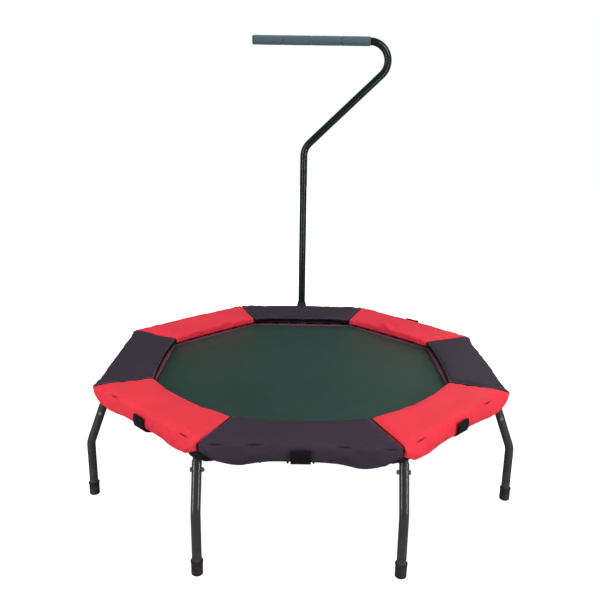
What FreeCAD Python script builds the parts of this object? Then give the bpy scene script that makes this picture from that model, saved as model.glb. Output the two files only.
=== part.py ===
import FreeCAD, Part
import math
import os
import Sketcher

# A mini trampoline with a bent handle. Millimetres, +Z up, origin on the floor under the middle of the
# octagon. The rear side faces +Y and carries the handle.
# Two working frames repeat through the file. A side's frame has the side's outward direction on +Y, as
# the rear side has. A corner's frame has the corner's outward direction on +X.

Vector = FreeCAD.Vector
SIDE_NAMES = ("front", "front_right", "right", "rear_right", "rear", "rear_left", "left", "front_left")
SIDES = len(SIDE_NAMES)
STEP_ANGLE = 360 / SIDES
BACKWARDS = 90
HALF = STEP_ANGLE / 2
UP = Vector(0, 0, 1)
X_PLANE, Y_PLANE, Z_PLANE = "YZ_Plane", "XZ_Plane", "XY_Plane"
X_AXIS, Z_AXIS = "X_Axis", "Z_Axis"

DIMENSIONS = (
    ("pad_apothem", 610, "centre to the middle of a pad's outer face"),
    ("pad_top", 350, "floor to the top of the pads"),
    ("pad_width", 165, "width of a pad, outer face to the opening's corners"),
    ("front_bow", 25, "outward bow of the opening's three edges at the front"),
    ("back_bow", 6, "outward bow of its other edges"),
    ("foam_thick", 18, "flat part of a pad"),
    ("pad_round", 9, "radius of a pad's top outer edge"),
    ("skirt_thick", 13, "padded skirt over the rail"),
    ("skirt_drop", 50, "pad top to the skirt's hem"),
    ("corner_drop", 29, "pad top to the hem at the corners"),
    ("corner_notch", 40, "length of the high hem at each end of a skirt"),
    ("gusset_thick", 2, "corner gusset"),
    ("gusset_drop", 46, "pad top to the gusset's hem"),
    ("strap_width", 50, "cover strap"),
    ("strap_thick", 1.5, "cover strap"),
    ("strap_start", 15, "pad top to the strap's sewn end"),
    ("rail_od", 32, "frame tube"),
    ("rail_wall", 2, "frame tube"),
    ("leg_od", 25, "leg tube"),
    ("leg_wall", 1.5, "leg tube"),
    ("leg_set", 19.5, "rail corner to the leg's axis, along the side of its pair"),
    ("leg_splay", 51, "leg's axis at the rail's height to the foot, seen from above"),
    ("leg_start", 1.5, "rail's surface to the leg's top, along the leg"),
    ("knee_drop", 137, "rail axis to the leg's bend"),
    ("knee_bend", 60, "bend radius of a leg"),
    ("spigot_gap", 0.2, "leg to spigot, on the radius"),
    ("spigot_wall", 2, "leg spigot"),
    ("spigot_sink", 0.3, "spigot's radius, less the way from the rail's axis to its top"),
    ("spigot_reach", 65, "rail axis to the spigot's end, along the leg"),
    ("leg_bolt_reach", 40, "rail axis to the leg bolt, along the leg"),
    ("cap_wall", 2.5, "rubber foot round the leg"),
    ("cap_height", 39, "rubber foot"),
    ("cap_floor", 5, "rubber under the tube"),
    ("cap_rim", 3.5, "ring at the rubber foot's top, round the leg"),
    ("cap_lip", 4, "height of that ring"),
    ("cap_edge", 2, "bevel at the rubber foot's bottom"),
    ("mat_drop", 26, "pad top to the mat"),
    ("mat_thick", 2, "woven mat"),
    ("border_width", 30, "webbing round the mat"),
    ("border_thick", 3, "webbing round the mat"),
    ("tab_width", 22, "webbing tab"),
    ("tab_length", 14, "border's edge to the ring's bar"),
    ("tab_thick", 3, "webbing tab"),
    ("tab_fold", 2, "tab's fold round the bar"),
    ("ring_rod", 5, "D-ring wire"),
    ("ring_width", 30, "D-ring, wire axis to wire axis"),
    ("ring_depth", 22, "D-ring, bar to tip"),
    ("ring_corner", 5, "D-ring bend at the bar"),
    ("ring_round", 12, "D-ring bend at the tip"),
    ("ring_margin", 30, "last ring to the border's corner"),
    ("rings_each_way", 3, "rings on each side of a strap"),
    ("cord_od", 6, "elastic cord"),
    ("cord_gap", 0.3, "cord to what it goes round"),
    ("cord_span", 58, "D-ring tip to rail axis"),
    ("loop_margin", 4, "first loop to the cover strap"),
    ("mast_od", 28, "handle tube"),
    ("mast_wall", 1.5, "handle tube"),
    ("socket_gap", 11, "pad's outer face to the socket"),
    ("mast_bend", 70, "bend radius of the handle"),
    ("mast_travel", 100, "height adjustment"),
    ("grip_height", 1395, "floor to the grip's axis"),
    ("elbow_drop", 400, "grip's axis to the lower bend"),
    ("grip_reach", 422, "handle's axis to the upper bend's corner"),
    ("grip_left", 197, "handle's axis to the grip's free end"),
    ("foam_wall", 3.5, "foam grip"),
    ("foam_pieces", 4, "lengths of foam on the grip"),
    ("foam_gap", 0.6, "between two lengths of foam"),
    ("end_cap_rim", 1.5, "end cap beyond the tube, on the radius"),
    ("end_cap_thick", 4, "end cap"),
    ("end_cap_depth", 15, "end cap inside the tube"),
    ("bush_wall", 2.7, "collar's bush inside the socket"),
    ("socket_wall", 2, "socket tube"),
    ("socket_drop", 15, "pad top to the socket's top"),
    ("slide_gap", 0.3, "sliding fit, on the radius"),
    ("collar_lip", 2, "collar's foot beyond the socket, on the radius"),
    ("collar_top_wall", 1.7, "collar's top"),
    ("collar_height", 32, "collar above the socket"),
    ("collar_rim", 6, "straight part of the collar"),
    ("bush_depth", 30, "collar inside the socket"),
    ("plug_height", 20, "foot plug up the handle"),
    ("plug_floor", 4, "foot plug under the handle"),
    ("brace_od", 25, "lower brace"),
    ("brace_wall", 1.5, "lower brace"),
    ("brace_drop", 30, "handle's foot to the brace's axis"),
    ("socket_overlap", 10, "socket's end below the brace's axis"),
    ("clamp_wall", 4, "clamp round a leg"),
    ("clamp_height", 30, "clamp round a leg"),
    ("clamp_slit", 3, "slit of that clamp"),
    ("ear_length", 15, "ears of that clamp"),
    ("ear_thick", 4, "ears of that clamp"),
    ("bolt_od", 6, "M6 bolts"),
    ("bolt_gap", 0.2, "bolt hole, on the radius"),
    ("bolt_head", 10, "M6 head and nut, across flats"),
    ("head_height", 4, "M6 head"),
    ("nut_height", 5, "M6 nut"),
    ("bolt_end", 2, "bolt past its nut"),
    ("bracket_margin", 4, "rail bracket to the elastic loops beside it"),
    ("bracket_thick", 6, "rail bracket"),
    ("bracket_gap", 2, "rail to the bracket's tongue"),
    ("saddle_inset", 3, "saddle's side to the rail's side"),
    ("saddle_rise", 4, "saddle's horns above the rail's underside"),
    ("clamp_drop", 23.4, "rail's underside to the clamp's axis"),
    ("stud_od", 10, "clamp stud"),
    ("stud_gap", 0.15, "stud to its boss and knob, on the radius"),
    ("tip_od", 6, "stud's tip"),
    ("tip_reach", 2.2, "stud's tip past the handle's surface"),
    ("tip_side_gap", 0.4, "stud's tip to the slot's edges"),
    ("slot_end", 30, "handle's foot to the slot's lower end"),
    ("boss_od", 20, "threaded boss"),
    ("boss_length", 12, "threaded boss beyond the socket"),
    ("hub_gap", 4, "boss to the knob's hub"),
    ("hub_od", 18, "knob's hub"),
    ("hub_length", 6, "knob's hub"),
    ("knob_od", 44, "star knob"),
    ("knob_thick", 18, "star knob"),
    ("knob_lobes", 6, "lobes of the star knob"),
    ("scallop_od", 14, "hollows between the lobes"),
    ("knob_cover", 3, "knob's material over the stud's end"),
)

doc = FreeCAD.newDocument("mini_trampoline")
sheet = doc.addObject("Spreadsheet::Sheet", "Dims")
for row, (alias, value, note) in enumerate(DIMENSIONS, start=1):
    sheet.set(f"A{row}", alias)
    sheet.set(f"B{row}", str(value))
    sheet.setAlias(f"B{row}", alias)
    sheet.set(f"C{row}", note)
doc.recompute()

# Places that follow from the sheet, as expressions.
RAIL_R = "(Dims.rail_od / 2)"
CORD_ROOM = "(Dims.cord_od + 2 * Dims.cord_gap)"
RAIL_Y = f"(Dims.pad_apothem - Dims.skirt_thick - {CORD_ROOM} - {RAIL_R})"
RAIL_Z = f"(Dims.pad_top - Dims.foam_thick - {CORD_ROOM} - {RAIL_R})"
RAIL_FOOT = f"({RAIL_Z} - {RAIL_R})"
LEG_SIDE = f"({RAIL_Y} * tan({HALF}) + Dims.leg_set)"
FOOT_OUT = f"({RAIL_Y} + Dims.leg_splay)"
KNEE_Z = f"({RAIL_Z} - Dims.knee_drop)"
LEAN = "atan(Dims.leg_splay / Dims.knee_drop)"
LEG_R = "(Dims.leg_od / 2)"
SPIGOT_R = f"({LEG_R} - Dims.leg_wall - Dims.spigot_gap)"
SPIGOT_START = f"({SPIGOT_R} - Dims.spigot_sink)"
BOLT_R = "(Dims.bolt_od / 2)"
SKIRT_Y = "(Dims.pad_apothem - Dims.skirt_thick)"
SKIRT_Z = "(Dims.pad_top - Dims.skirt_drop)"
FOAM_Z = "(Dims.pad_top - Dims.foam_thick)"
OPENING_Y = "(Dims.pad_apothem - Dims.pad_width)"
NOTCH_X = f"(Dims.pad_apothem * tan({HALF}) - Dims.corner_notch)"
LAYER_Z = "(Dims.pad_top - Dims.mat_drop - Dims.mat_thick / 2)"
TIP_Y = f"({RAIL_Y} - Dims.cord_span)"
BAR_Y = f"({TIP_Y} - Dims.ring_depth)"
BORDER_Y = f"({BAR_Y} - Dims.tab_length)"
MAT_Y = f"({BORDER_Y} - Dims.border_width)"
FIRST_RING_X = "(Dims.strap_width / 2 + Dims.cord_od / 2 + Dims.loop_margin)"
LAST_RING_X = f"({BORDER_Y} * tan({HALF}) - Dims.ring_margin)"
BRACKET_HALF = f"({FIRST_RING_X} - Dims.cord_od / 2 - Dims.bracket_margin)"
MAST_R = "(Dims.mast_od / 2)"
MAST_BORE_R = f"({MAST_R} + Dims.slide_gap)"
SOCKET_BORE_R = f"({MAST_BORE_R} + Dims.bush_wall)"
SOCKET_R = f"({SOCKET_BORE_R} + Dims.socket_wall)"
MAST_Y = f"(Dims.pad_apothem + Dims.socket_gap + {SOCKET_R})"
SOCKET_TOP = "(Dims.pad_top - Dims.socket_drop)"
CLAMP_Z = f"({RAIL_FOOT} - Dims.clamp_drop)"
MAST_FOOT = f"({CLAMP_Z} - Dims.mast_travel - Dims.slot_end)"
BRACE_Z = f"({MAST_FOOT} - Dims.brace_drop)"
BRACE_R = "(Dims.brace_od / 2)"
SOCKET_FOOT = f"({BRACE_Z} - Dims.socket_overlap)"
SLOPE = "atan(Dims.elbow_drop / Dims.grip_reach)"
GRIP_END_X = f"(Dims.grip_reach - Dims.mast_bend / tan({SLOPE} / 2))"
FOAM_LENGTH = (f"(({GRIP_END_X} + Dims.grip_left - (Dims.foam_pieces - 1) * Dims.foam_gap)"
               " / Dims.foam_pieces)")
CLAMP_R = f"({LEG_R} + Dims.clamp_wall)"
EAR_END_X = f"({FOOT_OUT} - {CLAMP_R} - Dims.ear_length)"
EAR_BOLT_X = f"({FOOT_OUT} - {CLAMP_R} - Dims.ear_length / 2)"
EAR_HALF = "(Dims.clamp_slit / 2 + Dims.ear_thick)"
STUD_R = "(Dims.stud_od / 2)"
TIP_HALF = "(Dims.tip_od / 2 + Dims.tip_side_gap)"
BOSS_X = f"({SOCKET_R} + Dims.boss_length)"
HUB_X = f"({BOSS_X} + Dims.hub_gap)"
KNOB_X = f"({HUB_X} + Dims.hub_length)"
STUD_END_X = f"({KNOB_X} + Dims.knob_thick - Dims.knob_cover)"

nodes = []


def size(expression):
    """The present value of an expression of the sheet's sizes."""
    return float(sheet.evalExpression(expression))


def new_body(name, turn=0, shift=None):
    """One sub-part, turned about the octagon's axis and then shifted in its own turned frame."""
    body = doc.addObject("PartDesign::Body", name)
    rotation = FreeCAD.Rotation(UP, turn)
    place = Vector(*(size(value) for value in shift)) if shift else Vector()
    body.Placement = FreeCAD.Placement(rotation.multVec(place), rotation)
    nodes.append(body)
    return body


def origin_part(body, role):
    return next(part for part in body.Origin.OriginFeatures if part.Role == role)


def new_sketch(body, plane, height=None, turn=0):
    """A sketch on one of the body's own planes, raised along its normal and turned about its y axis."""
    sketch = body.newObject("Sketcher::SketchObject", "Sketch")
    sketch.AttachmentSupport = [(origin_part(body, plane), "")]
    sketch.MapMode = "FlatFace"
    sketch.AttachmentOffset = FreeCAD.Placement(Vector(), FreeCAD.Rotation(Vector(0, 1, 0), turn))
    if height:
        sketch.setExpression(".AttachmentOffset.Base.z", height)
    return sketch


def dimension(sketch, kind, geometry, point, expression):
    """Bind a point's coordinate, or an arc's radius, to an expression."""
    if kind == "Radius":
        constraint = Sketcher.Constraint(kind, geometry, size(expression))
    else:
        constraint = Sketcher.Constraint(kind, -1, 1, geometry, point, size(expression))
    index = sketch.addConstraint(constraint)
    name = f"size_{index}"
    sketch.renameConstraint(index, name)
    sketch.setExpression(f"Constraints.{name}", expression)


def locate(sketch, geometry, point, x, y):
    dimension(sketch, "DistanceX", geometry, point, x)
    dimension(sketch, "DistanceY", geometry, point, y)


def point_of(x, y):
    return Vector(size(x), size(y), 0)


def circle(sketch, x, y, radius):
    index = sketch.addGeometry(Part.Circle(point_of(x, y), UP, size(radius)))
    locate(sketch, index, 3, x, y)
    dimension(sketch, "Radius", index, 0, radius)


def polygon(sketch, points, arc_radius=None):
    """A closed outline. With arc_radius, its last side is an arc that bulges to the left of that side."""
    corners = [point_of(x, y) for x, y in points]
    count = len(corners)
    sides = []
    for index, corner in enumerate(corners):
        following = corners[(index + 1) % count]
        if arc_radius and index == count - 1:
            chord = following - corner
            radius = size(arc_radius)
            depth = radius - math.sqrt(radius**2 - (chord.Length / 2) ** 2)
            middle = (corner + following) / 2 + Vector(-chord.y, chord.x, 0).normalize() * depth
            sides.append(sketch.addGeometry(Part.Arc(corner, middle, following)))
        else:
            sides.append(sketch.addGeometry(Part.LineSegment(corner, following)))
    for index in range(count):
        follower = (index + 1) % count
        end, start = 2, 1
        if arc_radius and index == count - 1:
            reversed_arc = (sketch.getPoint(sides[index], 1) - corners[index]).Length > 1e-6
            end = 1 if reversed_arc else 2
        if arc_radius and follower == count - 1:
            reversed_arc = (sketch.getPoint(sides[follower], 1) - corners[follower]).Length > 1e-6
            start = 2 if reversed_arc else 1
        sketch.addConstraint(Sketcher.Constraint("Coincident", sides[index], end, sides[follower], start))
    for index, (x, y) in enumerate(points):
        if arc_radius and index == count - 1:
            locate(sketch, sides[index - 1], 2, x, y)
        else:
            locate(sketch, sides[index], 1, x, y)
    if arc_radius:
        dimension(sketch, "Radius", sides[-1], 0, arc_radius)


def rectangle(sketch, x_low, x_high, y_low, y_high):
    polygon(sketch, [(x_low, y_low), (x_high, y_low), (x_high, y_high), (x_low, y_high)])


def octagon(sketch, apothem):
    corners = []
    for step in range(SIDES):
        angle = HALF + step * STEP_ANGLE
        reach = f"{apothem} / cos({HALF})"
        corners.append((f"{reach} * cos({angle})", f"{reach} * sin({angle})"))
    polygon(sketch, corners)


def hexagon(sketch, x, y, across_flats):
    corner = f"{across_flats} / 2 / cos(30)"
    polygon(sketch, [(f"{x} + {corner} * cos({60 * step})", f"{y} + {corner} * sin({60 * step})")
                     for step in range(6)])


def bent_path(sketch, points, radii, closed=False):
    """Straight runs joined by tangent arcs. Each bend's corner is kept as a construction point."""
    corners = [point_of(x, y) for x, y in points]
    count = len(corners)
    bends = range(count) if closed else range(1, count - 1)
    arcs, leave, arrive = {}, {}, {}
    for index in bends:
        back = (corners[index - 1] - corners[index]).normalize()
        ahead = (corners[(index + 1) % count] - corners[index]).normalize()
        half = back.getAngle(ahead) / 2
        radius = size(radii[index])
        arrive[index] = corners[index] + back * (radius / math.tan(half))
        leave[index] = corners[index] + ahead * (radius / math.tan(half))
        inwards = (back + ahead).normalize()
        arcs[index] = corners[index] + inwards * (radius / math.sin(half) - radius)
    runs = []
    for index in range(count if closed else count - 1):
        following = (index + 1) % count
        start = leave.get(index, corners[index])
        end = arrive.get(following, corners[following])
        runs.append(sketch.addGeometry(Part.LineSegment(start, end)))
    for index in bends:
        before, after = runs[index - 1], runs[index]
        arc = sketch.addGeometry(Part.Arc(arrive[index], arcs[index], leave[index]))
        forwards = (sketch.getPoint(arc, 1) - arrive[index]).Length < 1e-6
        first, last = (1, 2) if forwards else (2, 1)
        sketch.addConstraint(Sketcher.Constraint("Tangent", before, 2, arc, first))
        sketch.addConstraint(Sketcher.Constraint("Tangent", arc, last, after, 1))
        dimension(sketch, "Radius", arc, 0, radii[index])
        corner = sketch.addGeometry(Part.Point(corners[index]), True)
        sketch.addConstraint(Sketcher.Constraint("PointOnObject", corner, 1, before))
        sketch.addConstraint(Sketcher.Constraint("PointOnObject", corner, 1, after))
        locate(sketch, corner, 1, *points[index])
    if not closed:
        locate(sketch, runs[0], 1, *points[0])
        locate(sketch, runs[-1], 2, *points[-1])


def belt(sketch, big, big_radius, small, small_radius):
    """The taut closed line round two circles; with equal radii it is an oblong."""
    centres = (point_of(*big), point_of(*small))
    radii = (size(big_radius), size(small_radius))
    line = centres[0] - centres[1]
    heading = math.atan2(line.y, line.x)
    half_wrap = math.pi - math.acos((radii[0] - radii[1]) / line.Length)

    def on_circle(which, angle):
        return centres[which] + Vector(math.cos(angle), math.sin(angle), 0) * radii[which]

    def straight(first, angle):
        return sketch.addGeometry(Part.LineSegment(on_circle(first, angle), on_circle(1 - first, angle)))

    upper, lower = straight(1, heading + half_wrap), straight(0, heading - half_wrap)
    big_arc = sketch.addGeometry(Part.ArcOfCircle(
        Part.Circle(centres[0], UP, radii[0]), heading - half_wrap, heading + half_wrap))
    small_arc = sketch.addGeometry(Part.ArcOfCircle(
        Part.Circle(centres[1], UP, radii[1]), heading + half_wrap, heading - half_wrap + 2 * math.pi))
    for first, end, second, start in ((upper, 2, big_arc, 2), (lower, 1, big_arc, 1),
                                      (upper, 1, small_arc, 1), (lower, 2, small_arc, 2)):
        sketch.addConstraint(Sketcher.Constraint("Tangent", first, end, second, start))
    for arc, centre, radius in ((big_arc, big, big_radius), (small_arc, small, small_radius)):
        locate(sketch, arc, 3, *centre)
        dimension(sketch, "Radius", arc, 0, radius)


def pad(body, sketch, length, midplane=False, reverse=False):
    feature = body.newObject("PartDesign::Pad", "Pad")
    feature.Profile = sketch
    feature.Midplane = midplane
    feature.Reversed = reverse
    feature.setExpression("Length", length)
    doc.recompute()
    return feature


def pocket(body, sketch, length=None, reverse=False):
    """Cut through all both ways, or one way to a length. A cut that removes nothing stops the build."""
    before = body.Shape.Volume
    feature = body.newObject("PartDesign::Pocket", "Pocket")
    feature.Profile = sketch
    if length:
        feature.Reversed = reverse
        feature.setExpression("Length", length)
    else:
        feature.Type = "ThroughAll"
        feature.Midplane = True
    doc.recompute()
    if body.Shape.Volume >= before:
        raise RuntimeError(f"a pocket of {body.Label} cuts nothing")
    return feature


def revolve(body, sketch, axis):
    feature = body.newObject("PartDesign::Revolution", "Revolution")
    feature.Profile = sketch
    feature.ReferenceAxis = (origin_part(body, axis), [""])
    doc.recompute()
    return feature


def pipe(body, profile, spine):
    feature = body.newObject("PartDesign::AdditivePipe", "Pipe")
    feature.Profile = profile
    feature.Spine = (spine, [""])
    doc.recompute()
    return feature


def polar(body, count=SIDES, angle=360):
    """Repeat the whole piece round the octagon's axis."""
    pattern = body.newObject("PartDesign::PolarPattern", "Pattern")
    pattern.TransformMode = "Whole shape"
    pattern.Axis = (origin_part(body, Z_AXIS), [""])
    pattern.Angle = angle
    pattern.Occurrences = count
    body.Tip = pattern
    doc.recompute()


def round_the_mat(body):
    """Repeat what stands at the first ring's place: along the side, to its other half, round the mat."""
    pattern = body.newObject("PartDesign::MultiTransform", "Round")
    pattern.TransformMode = "Whole shape"
    along = body.newObject("PartDesign::LinearPattern", "Along")
    across = body.newObject("PartDesign::Mirrored", "Across")
    around = body.newObject("PartDesign::PolarPattern", "Around")
    along.Direction = (origin_part(body, X_AXIS), [""])
    along.setExpression("Length", f"{LAST_RING_X} - {FIRST_RING_X}")
    along.setExpression("Occurrences", "Dims.rings_each_way")
    across.MirrorPlane = (origin_part(body, X_PLANE), [""])
    around.Axis = (origin_part(body, Z_AXIS), [""])
    around.Angle = 360
    around.Occurrences = SIDES
    pattern.Transformations = [along, across, around]
    body.Tip = pattern
    doc.recompute()


def mirror_sideways(body):
    mirrored = body.newObject("PartDesign::Mirrored", "Pair")
    mirrored.TransformMode = "Whole shape"
    mirrored.MirrorPlane = (origin_part(body, Y_PLANE), [""])
    body.Tip = mirrored
    doc.recompute()


def round_the_legs(body):
    """Repeat what stands at one leg: at the other leg of its pair, and at all four pairs."""
    mirror_sideways(body)
    polar(body, count=SIDES // 2)


def mitre(body):
    """Cut both ends of a side's piece on the planes through the octagon's corners."""
    cuts = new_sketch(body, Z_PLANE)
    near, far = "Dims.pad_apothem / 2", "Dims.pad_apothem * 2"
    for sign in ("", "-"):
        polygon(cuts, [(f"{sign}{near} * tan({HALF})", near), (f"{sign}{far} * tan({HALF})", far),
                       (f"{sign}{far}", far), (f"{sign}{far}", near)])
    pocket(body, cuts)


def side_turn(index):
    return index * STEP_ANGLE - 180


def corner_turn(index):
    return (index + 0.5) * STEP_ANGLE - 90


def leg_place(index):
    """A leg's turn and sideways place: each second side has a pair, bent straight outwards."""
    return (index + 1) // 2 * 90 - 90, LEG_SIDE if index % 2 == 0 else f"-{LEG_SIDE}"


def along_leg(distance):
    """A point on the leg's upper axis, this far from where that axis meets the rail's height."""
    return f"{RAIL_Y} + {distance} * sin({LEAN})", f"{RAIL_Z} - {distance} * cos({LEAN})"


def frame_rail(index):
    body = new_body(f"frame_rail_{SIDE_NAMES[index]}", side_turn(index))
    section = new_sketch(body, X_PLANE)
    circle(section, RAIL_Y, RAIL_Z, RAIL_R)
    circle(section, RAIL_Y, RAIL_Z, f"{RAIL_R} - Dims.rail_wall")
    pad(body, section, f"2 * ({RAIL_Y} + Dims.rail_od) * tan({HALF})", midplane=True)
    mitre(body)


def leg_spigots():
    """Short tubes coped to the rails just past the corners."""
    body = new_body("leg_spigots")
    x, z = along_leg(SPIGOT_START)
    section = new_sketch(body, Z_PLANE, RAIL_Z)
    section.AttachmentOffset = FreeCAD.Placement(Vector(), FreeCAD.Rotation(Vector(0, 1, 0), 1))
    section.setExpression(".AttachmentOffset.Base.x", x)
    section.setExpression(".AttachmentOffset.Base.y", LEG_SIDE)
    section.setExpression(".AttachmentOffset.Base.z", z)
    section.setExpression(".AttachmentOffset.Rotation.Angle", f"-{LEAN}")
    circle(section, "0", "0", SPIGOT_R)
    circle(section, "0", "0", f"{SPIGOT_R} - Dims.spigot_wall")
    pad(body, section, f"Dims.spigot_reach - {SPIGOT_START}", reverse=True)
    cope = new_sketch(body, Y_PLANE, turn=STEP_ANGLE)
    circle(cope, RAIL_Y, RAIL_Z, RAIL_R)
    pocket(body, cope)
    hole = new_sketch(body, Y_PLANE)
    circle(hole, *along_leg("Dims.leg_bolt_reach"), f"{BOLT_R} + Dims.bolt_gap")
    pocket(body, hole)
    round_the_legs(body)


def leg(index):
    turn, sideways = leg_place(index)
    body = new_body(f"leg_{index + 1}", turn, ("0", sideways, "0"))
    spine = new_sketch(body, Y_PLANE)
    leg_top = along_leg(f"({RAIL_R} + Dims.leg_start)")
    bent_path(spine, [(FOOT_OUT, "Dims.cap_floor"), (FOOT_OUT, KNEE_Z), leg_top],
              [None, "Dims.knee_bend", None])
    section = new_sketch(body, Z_PLANE, "Dims.cap_floor")
    circle(section, FOOT_OUT, "0", LEG_R)
    circle(section, FOOT_OUT, "0", f"{LEG_R} - Dims.leg_wall")
    pipe(body, section, spine)
    hole = new_sketch(body, Y_PLANE)
    circle(hole, *along_leg("Dims.leg_bolt_reach"), f"{BOLT_R} + Dims.bolt_gap")
    pocket(body, hole)


def foot_cap(index):
    turn, sideways = leg_place(index)
    body = new_body(f"foot_cap_{index + 1}", turn, (FOOT_OUT, sideways, "0"))
    outer, lip = f"{LEG_R} + Dims.cap_wall", f"{LEG_R} + Dims.cap_rim"
    lip_foot = "Dims.cap_height - Dims.cap_lip"
    profile = new_sketch(body, Y_PLANE)
    polygon(profile, [("0", "0"), (f"{outer} - Dims.cap_edge", "0"), (outer, "Dims.cap_edge"),
                      (outer, lip_foot), (lip, lip_foot), (lip, "Dims.cap_height"),
                      (LEG_R, "Dims.cap_height"), (LEG_R, "Dims.cap_floor"), ("0", "Dims.cap_floor")])
    revolve(body, profile, Z_AXIS)


def leg_bolts():
    """Hexagon bolts across the legs' tops, with their heads on the far sides of each pair."""
    body = new_body("leg_bolts")
    x, z = along_leg("Dims.leg_bolt_reach")
    far_side = f"-({LEG_SIDE} + {LEG_R})"
    shank = new_sketch(body, Y_PLANE, far_side)
    circle(shank, x, z, BOLT_R)
    head = new_sketch(body, Y_PLANE, far_side)
    hexagon(head, x, z, "Dims.bolt_head")
    pad(body, shank, "Dims.leg_od + Dims.nut_height + Dims.bolt_end")
    pad(body, head, "Dims.head_height", reverse=True)
    round_the_legs(body)


def leg_nuts():
    body = new_body("leg_nuts")
    x, z = along_leg("Dims.leg_bolt_reach")
    outline = new_sketch(body, Y_PLANE, f"{LEG_R} - {LEG_SIDE}")
    hexagon(outline, x, z, "Dims.bolt_head")
    circle(outline, x, z, BOLT_R)
    pad(body, outline, "Dims.nut_height")
    round_the_legs(body)


def pad_panel(index):
    """Flat foam with a bowed opening edge, and a skirt down over the rail with a higher hem at its ends."""
    body = new_body(f"pad_panel_{SIDE_NAMES[index]}", side_turn(index))
    top = new_sketch(body, Z_PLANE, FOAM_Z)
    half_chord = f"({OPENING_Y} * tan({HALF}))"
    bow = "Dims.front_bow" if SIDE_NAMES[index].startswith("front") else "Dims.back_bow"
    half_length = f"Dims.pad_apothem * tan({HALF})"
    polygon(top, [(half_chord, OPENING_Y), (half_length, "Dims.pad_apothem"),
                  (f"-{half_length}", "Dims.pad_apothem"), (f"-{half_chord}", OPENING_Y)],
            arc_radius=f"({half_chord} ^ 2 + {bow} ^ 2) / (2 * {bow})")
    pad(body, top, "Dims.foam_thick")
    skirt = new_sketch(body, Z_PLANE, FOAM_Z)
    polygon(skirt, [(f"{SKIRT_Y} * tan({HALF})", SKIRT_Y), (half_length, "Dims.pad_apothem"),
                    (f"-{half_length}", "Dims.pad_apothem"), (f"-{SKIRT_Y} * tan({HALF})", SKIRT_Y)])
    pad(body, skirt, "Dims.skirt_drop - Dims.foam_thick", reverse=True)
    notches = new_sketch(body, Y_PLANE)
    high = "Dims.pad_top - Dims.corner_drop"
    rectangle(notches, NOTCH_X, "Dims.pad_apothem", SKIRT_Z, high)
    rectangle(notches, "-Dims.pad_apothem", f"-{NOTCH_X}", SKIRT_Z, high)
    notched = pocket(body, notches)
    rounding = body.newObject("PartDesign::Fillet", "Rounding")
    rounding.Base = (notched, top_outer_edges(notched.Shape))
    rounding.setExpression("Radius", "Dims.pad_round")
    doc.recompute()


def top_outer_edges(shape):
    """The edge where a pad's flat top meets its outer face."""
    corner = Vector(0, size("Dims.pad_apothem"), size("Dims.pad_top"))
    return [f"Edge{number}" for number, edge in enumerate(shape.Edges, start=1)
            if all(abs(vertex.Y - corner.y) < 1e-4 and abs(vertex.Z - corner.z) < 1e-4
                   for vertex in edge.Vertexes)]


def cover_straps():
    """Webbing down the skirt, under the rail and up inside it, on every side but the handle's."""
    body = new_body("cover_straps", STEP_ANGLE)
    outer, inner = "Dims.pad_apothem", f"({RAIL_Y} - {RAIL_R})"
    high = "Dims.pad_top - Dims.strap_start"
    profile = new_sketch(body, X_PLANE)
    polygon(profile, [(outer, high), (outer, RAIL_FOOT), (inner, RAIL_FOOT), (inner, FOAM_Z),
                      (f"{inner} - Dims.strap_thick", FOAM_Z),
                      (f"{inner} - Dims.strap_thick", f"{RAIL_FOOT} - Dims.strap_thick"),
                      (f"{outer} + Dims.strap_thick", f"{RAIL_FOOT} - Dims.strap_thick"),
                      (f"{outer} + Dims.strap_thick", high)])
    pad(body, profile, "Dims.strap_width", midplane=True)
    polar(body, count=SIDES - 1, angle=360 - 2 * STEP_ANGLE)


def corner_gussets():
    """Fabric bent round each corner in the gap that the skirts' raised hems leave."""
    body = new_body("corner_gussets", corner_turn(0))
    outline = new_sketch(body, Z_PLANE, "Dims.pad_top - Dims.corner_drop")

    def along_side(apothem, sign):
        run = f"({apothem} * tan({HALF}) - {NOTCH_X})"
        return f"{apothem} / cos({HALF}) - {run} * sin({HALF})", f"{sign}{run} * cos({HALF})"

    inner, outer = SKIRT_Y, f"({SKIRT_Y} + Dims.gusset_thick)"
    polygon(outline, [along_side(inner, "-"), along_side(outer, "-"), (f"{outer} / cos({HALF})", "0"),
                      along_side(outer, ""), along_side(inner, ""), (f"{inner} / cos({HALF})", "0")])
    pad(body, outline, "Dims.gusset_drop - Dims.corner_drop", reverse=True)
    polar(body)


def jump_mat():
    body = new_body("jump_mat")
    outline = new_sketch(body, Z_PLANE, LAYER_Z)
    octagon(outline, MAT_Y)
    pad(body, outline, "Dims.mat_thick", midplane=True)


def mat_border():
    body = new_body("mat_border")
    outline = new_sketch(body, Z_PLANE, LAYER_Z)
    octagon(outline, BORDER_Y)
    octagon(outline, MAT_Y)
    pad(body, outline, "Dims.border_thick", midplane=True)


def ring_tabs():
    """Webbing tongues sewn to the border, each folded round the bar of a ring."""
    body = new_body("ring_tabs")
    low, high = f"{FIRST_RING_X} - Dims.tab_width / 2", f"{FIRST_RING_X} + Dims.tab_width / 2"
    tongue = new_sketch(body, Z_PLANE, LAYER_Z)
    rectangle(tongue, low, high, BORDER_Y, BAR_Y)
    pad(body, tongue, "Dims.tab_thick", midplane=True)
    fold = new_sketch(body, X_PLANE, low)
    circle(fold, BAR_Y, LAYER_Z, "Dims.ring_rod / 2 + Dims.tab_fold")
    pad(body, fold, "Dims.tab_width")
    eye = new_sketch(body, X_PLANE)
    circle(eye, BAR_Y, LAYER_Z, "Dims.ring_rod / 2")
    pocket(body, eye)
    round_the_mat(body)


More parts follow.
